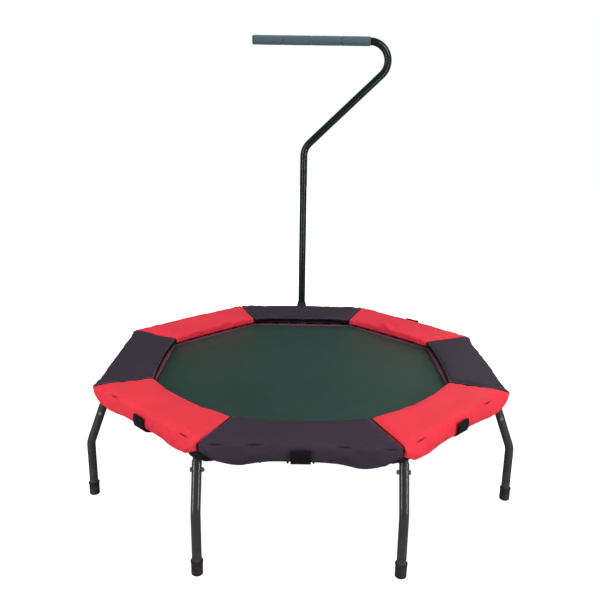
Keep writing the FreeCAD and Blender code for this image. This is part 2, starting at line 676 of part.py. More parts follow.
def d_rings():
    body = new_body("d_rings")
    left, right = f"{FIRST_RING_X} - Dims.ring_width / 2", f"{FIRST_RING_X} + Dims.ring_width / 2"
    spine = new_sketch(body, Z_PLANE, LAYER_Z)
    bent_path(spine, [(left, BAR_Y), (right, BAR_Y), (right, TIP_Y), (left, TIP_Y)],
              ["Dims.ring_corner", "Dims.ring_corner", "Dims.ring_round", "Dims.ring_round"], closed=True)
    section = new_sketch(body, X_PLANE, FIRST_RING_X)
    circle(section, BAR_Y, LAYER_Z, "Dims.ring_rod / 2")
    pipe(body, section, spine)
    round_the_mat(body)


def bungee_loops():
    """Elastic cord loops, each round the rail and through a ring."""
    body = new_body("bungee_loops")
    reach = "Dims.cord_od / 2 + Dims.cord_gap"
    big_radius, small_radius = f"({RAIL_R} + {reach})", f"(Dims.ring_rod / 2 + {reach})"
    spine = new_sketch(body, X_PLANE, FIRST_RING_X)
    belt(spine, (RAIL_Y, RAIL_Z), big_radius, (TIP_Y, LAYER_Z), small_radius)
    section = new_sketch(body, Z_PLANE, RAIL_Z)
    circle(section, FIRST_RING_X, f"{RAIL_Y} + {big_radius}", "Dims.cord_od / 2")
    pipe(body, section, spine)
    round_the_mat(body)


def mast_tube():
    """The handle: upright, slanting run, and a turn back to the level grip, with the clamp's slot."""
    body = new_body("mast_tube", shift=("0", MAST_Y, "0"))
    spine = new_sketch(body, Y_PLANE)
    bent_path(spine, [("0", MAST_FOOT), ("0", "Dims.grip_height - Dims.elbow_drop"),
                      ("Dims.grip_reach", "Dims.grip_height"), ("-Dims.grip_left", "Dims.grip_height")],
              [None, "Dims.mast_bend", "Dims.mast_bend", None])
    section = new_sketch(body, Z_PLANE, MAST_FOOT)
    circle(section, "0", "0", MAST_R)
    circle(section, "0", "0", f"{MAST_R} - Dims.mast_wall")
    pipe(body, section, spine)
    slot = new_sketch(body, X_PLANE, f"-{SOCKET_R}")
    belt(slot, ("0", CLAMP_Z), TIP_HALF, ("0", f"{CLAMP_Z} - Dims.mast_travel"), TIP_HALF)
    pocket(body, slot, SOCKET_R, reverse=True)


def foam_grip():
    body = new_body("foam_grip", shift=("0", MAST_Y, "Dims.grip_height"))
    section = new_sketch(body, X_PLANE, "-Dims.grip_left")
    circle(section, "0", "0", f"{MAST_R} + Dims.foam_wall")
    circle(section, "0", "0", MAST_R)
    first = pad(body, section, FOAM_LENGTH)
    row = body.newObject("PartDesign::LinearPattern", "Row")
    row.Originals = [first]
    row.Direction = (origin_part(body, X_AXIS), [""])
    row.setExpression("Length", f"(Dims.foam_pieces - 1) * ({FOAM_LENGTH} + Dims.foam_gap)")
    row.setExpression("Occurrences", "Dims.foam_pieces")
    body.Tip = row
    doc.recompute()


def grip_end_cap():
    body = new_body("grip_end_cap", shift=("-Dims.grip_left", MAST_Y, "Dims.grip_height"))
    rim = f"{MAST_R} + Dims.end_cap_rim"
    bore = f"{MAST_R} - Dims.mast_wall"
    profile = new_sketch(body, Z_PLANE)
    polygon(profile, [("-Dims.end_cap_thick", "0"), ("-Dims.end_cap_thick", f"{rim} - Dims.end_cap_rim"),
                      ("Dims.end_cap_rim - Dims.end_cap_thick", rim), ("0", rim), ("0", bore),
                      ("Dims.end_cap_depth", bore), ("Dims.end_cap_depth", "0")])
    revolve(body, profile, X_AXIS)


def mast_foot_plug():
    """Plastic plug on the handle's lower end; it slides in the socket."""
    body = new_body("mast_foot_plug", shift=("0", MAST_Y, MAST_FOOT))
    outer = f"{SOCKET_BORE_R} - Dims.slide_gap"
    profile = new_sketch(body, Y_PLANE)
    polygon(profile, [("0", "-Dims.plug_floor"), (outer, "-Dims.plug_floor"), (outer, "Dims.plug_height"),
                      (MAST_R, "Dims.plug_height"), (MAST_R, "0"), ("0", "0")])
    revolve(body, profile, Z_AXIS)


def socket_tube():
    """Outer tube for the handle, coped to the brace at its foot and drilled for the clamp."""
    body = new_body("socket_tube", shift=("0", MAST_Y, "0"))
    section = new_sketch(body, Z_PLANE, SOCKET_FOOT)
    circle(section, "0", "0", SOCKET_R)
    circle(section, "0", "0", SOCKET_BORE_R)
    pad(body, section, f"{SOCKET_TOP} - {SOCKET_FOOT}")
    cope = new_sketch(body, X_PLANE)
    circle(cope, f"{FOOT_OUT} - {MAST_Y}", BRACE_Z, BRACE_R)
    pocket(body, cope)
    hole = new_sketch(body, X_PLANE, f"-{SOCKET_R}")
    circle(hole, "0", CLAMP_Z, f"{STUD_R} + Dims.stud_gap")
    pocket(body, hole, SOCKET_R, reverse=True)


def mast_collar():
    """Tapered collar on the socket's mouth, with a bush inside it."""
    body = new_body("mast_collar", shift=("0", MAST_Y, SOCKET_TOP))
    foot, top = f"{SOCKET_R} + Dims.collar_lip", f"{MAST_BORE_R} + Dims.collar_top_wall"
    profile = new_sketch(body, Y_PLANE)
    polygon(profile, [(MAST_BORE_R, "Dims.collar_height"), (top, "Dims.collar_height"),
                      (foot, "Dims.collar_rim"), (foot, "0"), (SOCKET_BORE_R, "0"),
                      (SOCKET_BORE_R, "-Dims.bush_depth"), (MAST_BORE_R, "-Dims.bush_depth")])
    revolve(body, profile, Z_AXIS)


def rail_bracket():
    """Welded plate from the rear rail's underside to the socket."""
    body = new_body("rail_bracket")
    saddle_half = f"({RAIL_R} - Dims.saddle_inset)"
    inner, outer = f"{RAIL_Y} - {saddle_half}", f"{RAIL_Y} + {saddle_half}"
    horns = f"{RAIL_FOOT} + Dims.saddle_rise"
    tongue_top = f"{RAIL_FOOT} - Dims.bracket_gap"
    tongue_foot = f"{tongue_top} - Dims.bracket_thick"
    profile = new_sketch(body, X_PLANE)
    polygon(profile, [(inner, horns), (inner, tongue_foot), (MAST_Y, tongue_foot), (MAST_Y, tongue_top),
                      (outer, tongue_top), (outer, horns)])
    pad(body, profile, f"2 * {BRACKET_HALF}", midplane=True)
    saddle = new_sketch(body, X_PLANE)
    circle(saddle, RAIL_Y, RAIL_Z, RAIL_R)
    pocket(body, saddle)
    cope = new_sketch(body, Z_PLANE)
    circle(cope, "0", MAST_Y, SOCKET_R)
    pocket(body, cope)


def brace_tube():
    """Cross tube between the clamps on the two rear legs."""
    body = new_body("brace_tube")
    section = new_sketch(body, X_PLANE)
    circle(section, FOOT_OUT, BRACE_Z, BRACE_R)
    circle(section, FOOT_OUT, BRACE_Z, f"{BRACE_R} - Dims.brace_wall")
    pad(body, section, f"2 * {LEG_SIDE}", midplane=True)
    copes = new_sketch(body, Z_PLANE)
    circle(copes, LEG_SIDE, FOOT_OUT, CLAMP_R)
    circle(copes, f"-{LEG_SIDE}", FOOT_OUT, CLAMP_R)
    pocket(body, copes)


def brace_clamps():
    """Slit rings round the two rear legs, each with two ears towards the middle."""
    body = new_body("brace_clamps", BACKWARDS)
    ring = new_sketch(body, Z_PLANE, BRACE_Z)
    circle(ring, FOOT_OUT, LEG_SIDE, CLAMP_R)
    pad(body, ring, "Dims.clamp_height", midplane=True)
    ears = new_sketch(body, Z_PLANE, BRACE_Z)
    rectangle(ears, EAR_END_X, FOOT_OUT, f"{LEG_SIDE} - {EAR_HALF}", f"{LEG_SIDE} + {EAR_HALF}")
    pad(body, ears, "Dims.clamp_height", midplane=True)
    bore = new_sketch(body, Z_PLANE)
    circle(bore, FOOT_OUT, LEG_SIDE, LEG_R)
    pocket(body, bore)
    slit = new_sketch(body, Z_PLANE)
    rectangle(slit, f"{EAR_END_X} - Dims.clamp_slit", FOOT_OUT, f"{LEG_SIDE} - Dims.clamp_slit / 2",
              f"{LEG_SIDE} + Dims.clamp_slit / 2")
    pocket(body, slit)
    hole = new_sketch(body, Y_PLANE)
    circle(hole, EAR_BOLT_X, BRACE_Z, BOLT_R)
    pocket(body, hole)
    mirror_sideways(body)


def clamp_bolts():
    """Bolts through the clamps' ears; the far ear is tapped."""
    body = new_body("clamp_bolts", BACKWARDS)
    far_side = f"-({LEG_SIDE} + {EAR_HALF})"
    shank = new_sketch(body, Y_PLANE, far_side)
    circle(shank, EAR_BOLT_X, BRACE_Z, BOLT_R)
    head = new_sketch(body, Y_PLANE, far_side)
    hexagon(head, EAR_BOLT_X, BRACE_Z, "Dims.bolt_head")
    pad(body, shank, f"2 * {EAR_HALF} + Dims.bolt_end")
    pad(body, head, "Dims.head_height", reverse=True)
    mirror_sideways(body)


def clamp_boss():
    body = new_body("clamp_boss", shift=("0", MAST_Y, CLAMP_Z))
    section = new_sketch(body, X_PLANE, f"-{BOSS_X}")
    circle(section, "0", "0", "Dims.boss_od / 2")
    circle(section, "0", "0", f"{STUD_R} + Dims.stud_gap")
    pad(body, section, BOSS_X)
    cope = new_sketch(body, Z_PLANE)
    circle(cope, "0", "0", SOCKET_R)
    pocket(body, cope)


def clamp_stud():
    """Threaded stud whose narrow tip runs in the handle's slot."""
    body = new_body("clamp_stud", shift=("0", MAST_Y, CLAMP_Z))
    tip, shoulder = f"-({MAST_R} - Dims.tip_reach)", f"-({MAST_R} + Dims.slide_gap)"
    profile = new_sketch(body, Z_PLANE)
    polygon(profile, [(tip, "0"), (tip, "Dims.tip_od / 2"), (shoulder, "Dims.tip_od / 2"),
                      (shoulder, STUD_R), (f"-{STUD_END_X}", STUD_R), (f"-{STUD_END_X}", "0")])
    revolve(body, profile, X_AXIS)


def clamp_knob():
    body = new_body("clamp_knob", shift=("0", MAST_Y, CLAMP_Z))
    outline = new_sketch(body, X_PLANE, f"-{KNOB_X}")
    circle(outline, "0", "0", "Dims.knob_od / 2")
    pad(body, outline, "Dims.knob_thick", reverse=True)
    scallop = new_sketch(body, X_PLANE)
    circle(scallop, "Dims.knob_od / 2", "0", "Dims.scallop_od / 2")
    hollow = pocket(body, scallop)
    hollows = body.newObject("PartDesign::PolarPattern", "Hollows")
    hollows.Originals = [hollow]
    hollows.Axis = (origin_part(body, X_AXIS), [""])
    hollows.Angle = 360
    hollows.setExpression("Occurrences", "Dims.knob_lobes")
    body.Tip = hollows
    doc.recompute()
    hub = new_sketch(body, X_PLANE, f"-{KNOB_X}")
    circle(hub, "0", "0", "Dims.hub_od / 2")
    pad(body, hub, "Dims.hub_length")
    bore = new_sketch(body, X_PLANE, f"-{STUD_END_X}")
    circle(bore, "0", "0", f"{STUD_R} + Dims.stud_gap")
    pocket(body, bore, f"{STUD_END_X} - {HUB_X}", reverse=True)


def check_and_write():
    """Stop on anything that failed, then write one STEP file for each sub-part."""
    doc.recompute()
    failed = [item.Name for item in doc.Objects if {"Invalid", "Error"} & set(item.State)]
    if failed:
        raise RuntimeError(f"these objects failed: {failed}")
    for body in nodes:
        if body.Shape.isNull() or not body.Shape.isValid() or not body.Shape.Solids:
            raise RuntimeError(f"{body.Label} has no valid shape")
    os.makedirs("parts", exist_ok=True)
    for body in nodes:
        body.Shape.exportStep(f"parts/{body.Label}.step")
        box = body.Shape.BoundBox
        print(f"{body.Label}: {len(body.Shape.Solids)} solids, {body.Shape.Volume / 1000:.1f} cm3,"
              f" x {box.XMin:.1f} {box.XMax:.1f}, y {box.YMin:.1f} {box.YMax:.1f},"
              f" z {box.ZMin:.1f} {box.ZMax:.1f}")
    print(len(nodes), "sub-parts")


for make in (frame_rail, leg, foot_cap, pad_panel):
    for place in range(SIDES):
        make(place)
for make in (leg_spigots, leg_bolts, leg_nuts, cover_straps, corner_gussets, jump_mat, mat_border, ring_tabs,
             d_rings, bungee_loops, mast_tube, foam_grip, grip_end_cap, mast_foot_plug, socket_tube,
             mast_collar, rail_bracket, brace_tube, brace_clamps, clamp_bolts, clamp_boss, clamp_stud,
             clamp_knob):
    make()
check_and_write()
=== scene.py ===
# %% [markdown]
# # A fitness trampoline with a handle
# This lesson dresses a imported CAD model of a mini trampoline. The CAD model stays as the fixed frame. Each
# soft piece is made here as its own object, and most ride on a body of the frame, so that they follow the
# mat or the handle; the elastic loops ride on none.

# %% Load the imported model
import math

import bmesh
import bpy
from mathutils import Matrix, Vector, noise
from mathutils.bvhtree import BVHTree


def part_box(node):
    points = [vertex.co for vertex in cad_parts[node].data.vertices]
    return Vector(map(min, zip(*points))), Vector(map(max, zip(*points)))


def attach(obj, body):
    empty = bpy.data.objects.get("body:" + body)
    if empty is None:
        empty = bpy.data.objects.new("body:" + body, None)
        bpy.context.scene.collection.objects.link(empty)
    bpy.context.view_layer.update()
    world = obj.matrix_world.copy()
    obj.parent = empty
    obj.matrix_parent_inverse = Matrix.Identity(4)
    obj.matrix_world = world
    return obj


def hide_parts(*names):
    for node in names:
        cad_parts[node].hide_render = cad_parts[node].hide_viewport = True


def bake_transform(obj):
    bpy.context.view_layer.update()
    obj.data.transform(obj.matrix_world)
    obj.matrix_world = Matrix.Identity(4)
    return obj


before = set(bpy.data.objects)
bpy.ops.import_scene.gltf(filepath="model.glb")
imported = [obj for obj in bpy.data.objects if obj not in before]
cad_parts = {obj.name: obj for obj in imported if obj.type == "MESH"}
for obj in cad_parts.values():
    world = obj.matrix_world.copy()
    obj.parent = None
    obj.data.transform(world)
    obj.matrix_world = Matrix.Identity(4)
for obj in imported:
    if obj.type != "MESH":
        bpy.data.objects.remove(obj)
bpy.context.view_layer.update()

scene = bpy.context.scene
MM = 0.001

# %% [markdown]
# ## The camera
# The camera is made first, because every later choice is judged through it: standing height, a step away,
# looking down a little. The slight roll comes last, about the camera's own line of sight.

# %% Camera
camera = bpy.data.objects.new("camera", bpy.data.cameras.new("camera"))
camera.data.lens, camera.data.sensor_width = 40.6, 36
camera.matrix_world = (Matrix.Translation((-0.0070, -2.0944, 1.1249))
        @ Matrix.Rotation(math.radians(74.65), 4, "X")
        @ Matrix.Rotation(math.radians(0.8), 4, "Z"))
scene.collection.objects.link(camera)
scene.camera = camera

# %% [markdown]
# ## The studio
# A pale floor under a bright, even sky gives soft contact shadows. Large area lights model the form, and
# two tall strips draw the bright line down each tube. The sky that the camera sees is plain white, and the
# one that gloss reflects is dim, so that dark cloth stays dark.

# %% Node helpers
def feed(tree, shader_node, inputs):
    """Give a node its inputs: each is a number, a colour, or another node's socket."""
    for name, value in inputs.items():
        if isinstance(value, bpy.types.NodeSocket):
            tree.links.new(value, shader_node.inputs[name])
        else:
            shader_node.inputs[name].default_value = value


def node(tree, kind, inputs=None, **settings):
    made = tree.nodes.new(kind)
    for name, value in settings.items():
        setattr(made, name, value)
    feed(tree, made, inputs or {})
    return made


def maths(tree, operation, *values, clamp=False):
    return node(tree, "ShaderNodeMath", dict(enumerate(values)), operation=operation,
            use_clamp=clamp).outputs[0]


def blend_colour(tree, factor, first, second, kind="MIX"):
    return node(tree, "ShaderNodeMix", {0: factor, 6: first, 7: second}, data_type="RGBA",
            blend_type=kind).outputs[2]


def remap(tree, value, low, high, to_low=0.0, to_high=1.0):
    return node(tree, "ShaderNodeMapRange", {"Value": value, "From Min": low, "From Max": high,
            "To Min": to_low, "To Max": to_high}).outputs["Result"]


def noise_texture(tree, place, scale, **inputs):
    return node(tree, "ShaderNodeTexNoise", {"Vector": place, "Scale": scale, **inputs}).outputs["Fac"]


# %% Sky, floor and lights
world = bpy.data.worlds.new("studio")
scene.world = world
world.use_nodes = True
sky = world.node_tree
sky.nodes.clear()
direction = node(sky, "ShaderNodeTexCoord").outputs["Generated"]
up = node(sky, "ShaderNodeSeparateXYZ", {"Vector": direction}).outputs["Z"]
gradient = remap(sky, up, -0.1, 0.9, 0.45, 0.85)
path = node(sky, "ShaderNodeLightPath").outputs
dimmed = node(sky, "ShaderNodeMix", {0: path["Is Glossy Ray"], 2: gradient, 3: 0.09}).outputs[0]
seen = node(sky, "ShaderNodeBackground", {"Color": (1, 1, 1, 1), "Strength": 1.0})
lighting = node(sky, "ShaderNodeBackground", {"Color": (1, 1, 1, 1), "Strength": dimmed})
choice = node(sky, "ShaderNodeMixShader", {"Fac": path["Is Camera Ray"], 1: lighting.outputs[0],
        2: seen.outputs[0]})
node(sky, "ShaderNodeOutputWorld", {"Surface": choice.outputs[0]})
scene.view_settings.view_transform = "Standard"

floor_mesh = bpy.data.meshes.new("floor")
shape = bmesh.new()
bmesh.ops.create_grid(shape, x_segments=1, y_segments=1, size=9)
shape.to_mesh(floor_mesh)
shape.free()
floor = bpy.data.objects.new("floor", floor_mesh)
scene.collection.objects.link(floor)
floor_paint = bpy.data.materials.new("studio_floor")
floor_paint.use_nodes = True
tree = floor_paint.node_tree
spot = node(tree, "ShaderNodeTexCoord").outputs["Object"]
patches = noise_texture(tree, spot, 1.5)
radius = node(tree, "ShaderNodeVectorMath", {0: spot}, operation="LENGTH").outputs["Value"]
far = remap(tree, radius, 0.5, 1.5)
path = node(tree, "ShaderNodeLightPath").outputs
shader = tree.nodes["Principled BSDF"]
paper = blend_colour(tree, patches, (0.42, 0.42, 0.42, 1), (0.46, 0.46, 0.46, 1))
glow = maths(tree, "ADD", 0.92, maths(tree, "MULTIPLY", far, 0.4))
feed(tree, shader, {
    "Base Color": blend_colour(tree, maths(tree, "MULTIPLY", path["Is Glossy Ray"], 0.75), paper,
        (0.1, 0.1, 0.1, 1)),
    "Roughness": 0.9, "Emission Color": (1, 1, 1, 1),
    "Emission Strength": maths(tree, "MULTIPLY", glow, path["Is Camera Ray"])})
floor_mesh.materials.append(floor_paint)


def area_light(name, place, aim, width, height, power):
    light = bpy.data.lights.new(name, "AREA")
    light.shape, light.size, light.size_y, light.energy = "RECTANGLE", width, height, power
    lamp = bpy.data.objects.new(name, light)
    lamp.location = place
    lamp.rotation_euler = (Vector(aim) - Vector(place)).to_track_quat("-Z", "Y").to_euler()
    scene.collection.objects.link(lamp)


area_light("key", (1.9, -1.7, 2.6), (0, 0, 0.3), 1.3, 1.3, 26)
area_light("fill", (-2.4, -1.2, 1.8), (0, 0, 0.3), 1.6, 1.6, 9)
area_light("back_strip", (1.5, 2.3, 1.9), (0.1, 0, 0.3), 0.9, 1.8, 5)
area_light("tall_left", (-1.7, -1.5, 0.8), (0, 0, 0.5), 0.12, 1.6, 11)
area_light("tall_right", (1.7, -1.5, 0.8), (0, 0, 0.5), 0.12, 1.6, 11)

# %% [markdown]
# ## Shared finishes as node groups
# Several materials show the same effect: cloth is woven, straps are ribbed, everything is a bit uneven,
# and what stands near the floor is dusty. Each effect is one node group that puts out a mask or a height,
# and the material decides what to do with it.

# %% Group helper
def effect_group(name, inputs, outputs, build):
    """A node group; build() gets its tree and given sockets, and returns its results by name."""
    group = bpy.data.node_groups.new(name, "ShaderNodeTree")
    for label, kind, value in inputs:
        socket = group.interface.new_socket(label, in_out="INPUT", socket_type=kind)
        if value is not None:
            socket.default_value = value
    for label, kind in outputs:
        group.interface.new_socket(label, in_out="OUTPUT", socket_type=kind)
    given = group.nodes.new("NodeGroupInput")
    result = group.nodes.new("NodeGroupOutput")
    for label, socket in build(group, given.outputs).items():
        group.links.new(socket, result.inputs[label])
    return group


NUMBER, VECTOR, COLOUR = "NodeSocketFloat", "NodeSocketVector", "NodeSocketColor"


def use(tree, group, **inputs):
    """Place a group in a material and return its outputs."""
    made = node(tree, "ShaderNodeGroup", node_tree=group)
    feed(tree, made, inputs)
    return made.outputs


# %% [markdown]
# ### Woven threads
# A plain weave is two sets of threads that take turns on top. The sign of sin(u) sin(v) changes in a
# checkerboard, just like those turns, and each thread's rounded top is the other sine's size.

# %% Weave group
def half_wave(group, value, count):
    """sin(pi * count * value)"""
    return maths(group, "SINE", maths(group, "MULTIPLY", maths(group, "MULTIPLY", value, count), math.pi))


def build_weave(group, given):
    split = node(group, "ShaderNodeSeparateXYZ", {"Vector": given["Vector"]})
    waves = [half_wave(group, split.outputs[axis], given["Threads"]) for axis in "XY"]
    turn = maths(group, "GREATER_THAN", maths(group, "MULTIPLY", *waves), 0.0)
    tops = [maths(group, "ABSOLUTE", wave) for wave in waves]
    upper = node(group, "ShaderNodeMix", {0: turn, 2: tops[0], 3: tops[1]})
    height = maths(group, "POWER", upper.outputs[0], 0.6)
    # this mask is high where the threads dip; the materials use it to paint shade between the threads
    return {"Height": height, "GapShade": maths(group, "SUBTRACT", 1.0, height, clamp=True)}


WEAVE = effect_group("woven_threads", [("Vector", VECTOR, None), ("Threads", NUMBER, 900.0)],
        [("Height", NUMBER), ("GapShade", NUMBER)], build_weave)

# %% [markdown]
# ### Ribbed webbing
# Strap webbing has slanting ribs that change direction every few millimetres across the strap. A ping-pong
# of the crosswise coordinate folds the slant back and forth.

# %% Webbing group
def build_webbing(group, given):
    split = node(group, "ShaderNodeSeparateXYZ", {"Vector": given["Vector"]})
    zigzag = maths(group, "PINGPONG", split.outputs["Y"], given["Band"])
    slanted = maths(group, "ADD", split.outputs["X"], zigzag)
    height = maths(group, "ABSOLUTE", half_wave(group, slanted, given["Ribs"]))
    # this mask is high in the valleys between ribs; the materials use it to paint shade there
    gap = maths(group, "SUBTRACT", 1.0, maths(group, "POWER", height, 0.5), clamp=True)
    return {"Height": height, "GapShade": gap}


WEBBING = effect_group("ribbed_webbing", [("Vector", VECTOR, None), ("Ribs", NUMBER, 500.0),
        ("Band", NUMBER, 0.004)],
        [("Height", NUMBER), ("GapShade", NUMBER)], build_webbing)

# %% [markdown]
# ### Uneven colour and dust
# Broad noise shifts the tone a little and fine noise speckles it. Dust lies near the floor, in patches.

# %% Mottle and dust groups
def build_mottle(group, given):
    broad = noise_texture(group, given["Vector"], given["Scale"], Detail=3.0)
    fine = noise_texture(group, given["Vector"], maths(group, "MULTIPLY", given["Scale"], 23.0), Detail=2.0,
            Roughness=0.6)
    both = maths(group, "ADD", maths(group, "MULTIPLY", broad, 0.7), maths(group, "MULTIPLY", fine, 0.3))
    centred = remap(group, both, 0.3, 0.7)
    low = maths(group, "SUBTRACT", 1.0, given["Amount"])
    factor = remap(group, centred, 0.0, 1.0, low, maths(group, "ADD", 1.0, given["Amount"]))
    shade = node(group, "ShaderNodeVectorMath", {0: given["Color"], "Scale": factor}, operation="SCALE")
    return {"Color": shade.outputs[0], "Mask": centred}


MOTTLE = effect_group("uneven_tone", [("Vector", VECTOR, None), ("Scale", NUMBER, 12.0),
        ("Color", COLOUR, None), ("Amount", NUMBER, 0.1)],
        [("Color", COLOUR), ("Mask", NUMBER)], build_mottle)


def build_dust(group, given):
    height = node(group, "ShaderNodeSeparateXYZ", {"Vector": given["Vector"]}).outputs["Z"]
    low = remap(group, height, 0.0, given["Reach"], 1.0, 0.0)
    patches = noise_texture(group, given["Vector"], 60.0, Detail=5.0)
    mask = maths(group, "MULTIPLY", low, remap(group, patches, 0.4, 0.75))
    return {"Mask": maths(group, "MULTIPLY", mask, given["Amount"], clamp=True)}


DUST = effect_group("floor_dust", [("Vector", VECTOR, None), ("Reach", NUMBER, 0.06),
        ("Amount", NUMBER, 0.5)],
        [("Mask", NUMBER)], build_dust)
print("node groups:", sorted(group.name for group in bpy.data.node_groups))

# %% [markdown]
# ## Materials
# Every material starts from a Principled BSDF. The helpers give its tree and two coordinates: Object for
# paint and moulded parts, and the piece's own UV map, in metres, where the pattern follows the cloth.

# %% Material helpers
def new_material(name, **sockets):
    material = bpy.data.materials.new(name)
    material.use_nodes = True
    tree = material.node_tree
    feed(tree, tree.nodes["Principled BSDF"], {label.replace("_", " "): sockets[label] for label in sockets})
    places = node(tree, "ShaderNodeTexCoord").outputs
    return material, tree, places["Object"], places["UV"]


def toned(tree, place, scale, colour, amount):
    return use(tree, MOTTLE, Vector=place, Scale=scale, Color=colour, Amount=amount)


def surface(material, colour, normal, roughness=None):
    inputs = {"Base Color": colour, "Normal": normal}
    if roughness is not None:
        inputs["Roughness"] = roughness
    feed(material.node_tree, material.node_tree.nodes["Principled BSDF"], inputs)
    return material


def bump(tree, height, strength, distance, normal=None):
    under = {"Normal": normal} if normal is not None else {}
    return node(tree, "ShaderNodeBump", {"Strength": strength, "Distance": distance, "Height": height,
            **under}).outputs["Normal"]


# %% [markdown]
# ### Pad covers
# Coated polyester over foam: a fine weave under a thin skin that hides most of it; the gaps between the
# threads get painted shade. Broad noise gives the dents of thin foam. The attribute "slit_shade_and_binding"
# turns the cover black: painted shade in the slits of its crease, and on a charcoal pad's inner edge a black
# binding that is partly painted shade on that face.

# %% Pad cover material
def pad_cover(name, colour, shine):
    material, tree, place, cloth = new_material(name, Roughness=shine, Specular_IOR_Level=0.10,
            Sheen_Weight=0.02, Sheen_Roughness=0.4)
    threads = use(tree, WEAVE, Vector=cloth, Threads=1100.0)
    tone = toned(tree, place, 9.0, colour, 0.07)
    # thread gaps up to 14% darker: painted shade between the threads
    thread_gap_shade = blend_colour(tree, 1.0, tone["Color"], (0.72, 0.72, 0.72, 1), "MULTIPLY")
    woven = blend_colour(tree, maths(tree, "MULTIPLY", threads["GapShade"], 0.5), tone["Color"], thread_gap_shade)
    # this attribute mixes in black: painted shade in the crease's slits, and the inner edge's binding with
    # painted shade
    slit_shade_and_binding = node(tree, "ShaderNodeAttribute", attribute_name="slit_shade_and_binding").outputs["Fac"]
    soft = bump(tree, noise_texture(tree, place, 38.0, Detail=3.0), 0.35, 0.0022)
    return surface(material, blend_colour(tree, slit_shade_and_binding, woven, (0.004, 0.004, 0.005, 1)),
            bump(tree, threads["Height"], 0.22, 0.0004, soft),
            remap(tree, tone["Mask"], 0, 1, shine - 0.07, shine + 0.09))


PAD_RED = pad_cover("pad_red_cover", (0.86, 0.040, 0.066, 1), 0.42)
PAD_CHARCOAL = pad_cover("pad_charcoal_cover", (0.044, 0.033, 0.051, 1), 0.46)

# %% [markdown]
# ### The jumping mat
# Woven polypropylene tapes. The tapes of one set lie higher, so the mat is streaky in one direction. The
# gaps between the tapes are painted near-black: painted shade under the weave.

# %% Mat material
def mat_weave():
    material, tree, place, _ = new_material("mat_woven_tape", Roughness=0.42, Specular_IOR_Level=0.5,
            Sheen_Weight=0.06, Sheen_Roughness=0.35)
    threads = use(tree, WEAVE, Vector=place, Threads=620.0)
    stretched = node(tree, "ShaderNodeMapping", {"Vector": place, "Scale": (9.0, 420.0, 1.0)}).outputs[0]
    streaks = noise_texture(tree, stretched, 1.0, Detail=2.0)
    tone = toned(tree, place, 3.0, (0.011, 0.052, 0.039, 1), 0.12)
    light = blend_colour(tree, 1.0, tone["Color"], (1.5, 1.45, 1.45, 1), "MULTIPLY")
    striped = blend_colour(tree, remap(tree, streaks, 0.35, 0.7), tone["Color"], light)
    # painted shade: the gaps between the tapes go near-black
    gap_shade = maths(tree, "MULTIPLY", threads["GapShade"], 0.65)
    return surface(material, blend_colour(tree, gap_shade, striped, (0.008, 0.012, 0.010, 1)),
            bump(tree, threads["Height"], 0.5, 0.0006), remap(tree, streaks, 0.2, 0.8, 0.34, 0.52))


MAT_WOVEN = mat_weave()

# %% [markdown]
# ### Straps, borders, cords, thread and gussets
# Webbing takes the ribbed group with its own colours, and painted shade in the valleys between its ribs. The
# elastic cord's braid is the same rib, finer, with folds as wide as the cord. Gussets and piping are
# uncoated black nylon, with a coarser weave.

# %% Webbing, thread and cloth materials
def webbing(name, colour, ribs, band, gap_shade_colour, roughness=0.75):
    material, tree, place, cloth = new_material(name, Roughness=roughness, Specular_IOR_Level=0.2,
            Sheen_Weight=0.04, Sheen_Roughness=0.5)
    rib = use(tree, WEBBING, Vector=cloth, Ribs=ribs, Band=band)
    tone = toned(tree, place, 30.0, colour, 0.12)
    # painted shade: the valleys between the ribs take the darker colour
    gap_shade = maths(tree, "MULTIPLY", rib["GapShade"], 0.8)
    return surface(material, blend_colour(tree, gap_shade, tone["Color"], gap_shade_colour),
            bump(tree, rib["Height"], 0.6, 0.0005))


BLACK = (0.004, 0.004, 0.004, 1)
BLACK_WEBBING = webbing("black_strap_webbing", (0.003, 0.003, 0.003, 1), 420.0, 0.004, BLACK)
PINK_BORDER = webbing("pink_border_webbing", (0.36, 0.075, 0.145, 1), 520.0, 0.003,
        (0.14, 0.03, 0.06, 1), 0.6)
ELASTIC_BRAID = webbing("elastic_cord_braid", (0.018, 0.018, 0.02, 1), 900.0, 0.0024,
        (0.004, 0.004, 0.005, 1), 0.6)


def thread(name, colour):
    material, tree, place, _ = new_material(name, Roughness=0.6, Sheen_Weight=0.2)
    tone = toned(tree, place, 160.0, colour, 0.15)
    return surface(material, tone["Color"], bump(tree, tone["Mask"], 0.4, 0.0003))


PALE_THREAD = thread("pale_stitching", (0.24, 0.235, 0.25, 1))
BLACK_THREAD = thread("black_stitching", (0.012, 0.012, 0.013, 1))


def black_cloth():
    material, tree, place, cloth = new_material(
        "black_gusset_cloth", Roughness=0.7, Specular_IOR_Level=0.2, Sheen_Weight=0.05, Sheen_Roughness=0.4)
    threads = use(tree, WEAVE, Vector=cloth, Threads=900.0)
    tone = toned(tree, place, 40.0, (0.008, 0.007, 0.009, 1), 0.2)
    return surface(material, tone["Color"], bump(tree, threads["Height"], 0.6, 0.0005))


BLACK_CLOTH = black_cloth()

# %% [markdown]
# ### Painted tube
# Powder paint has a faint orange-peel skin, an uneven gloss, and dust near the floor.

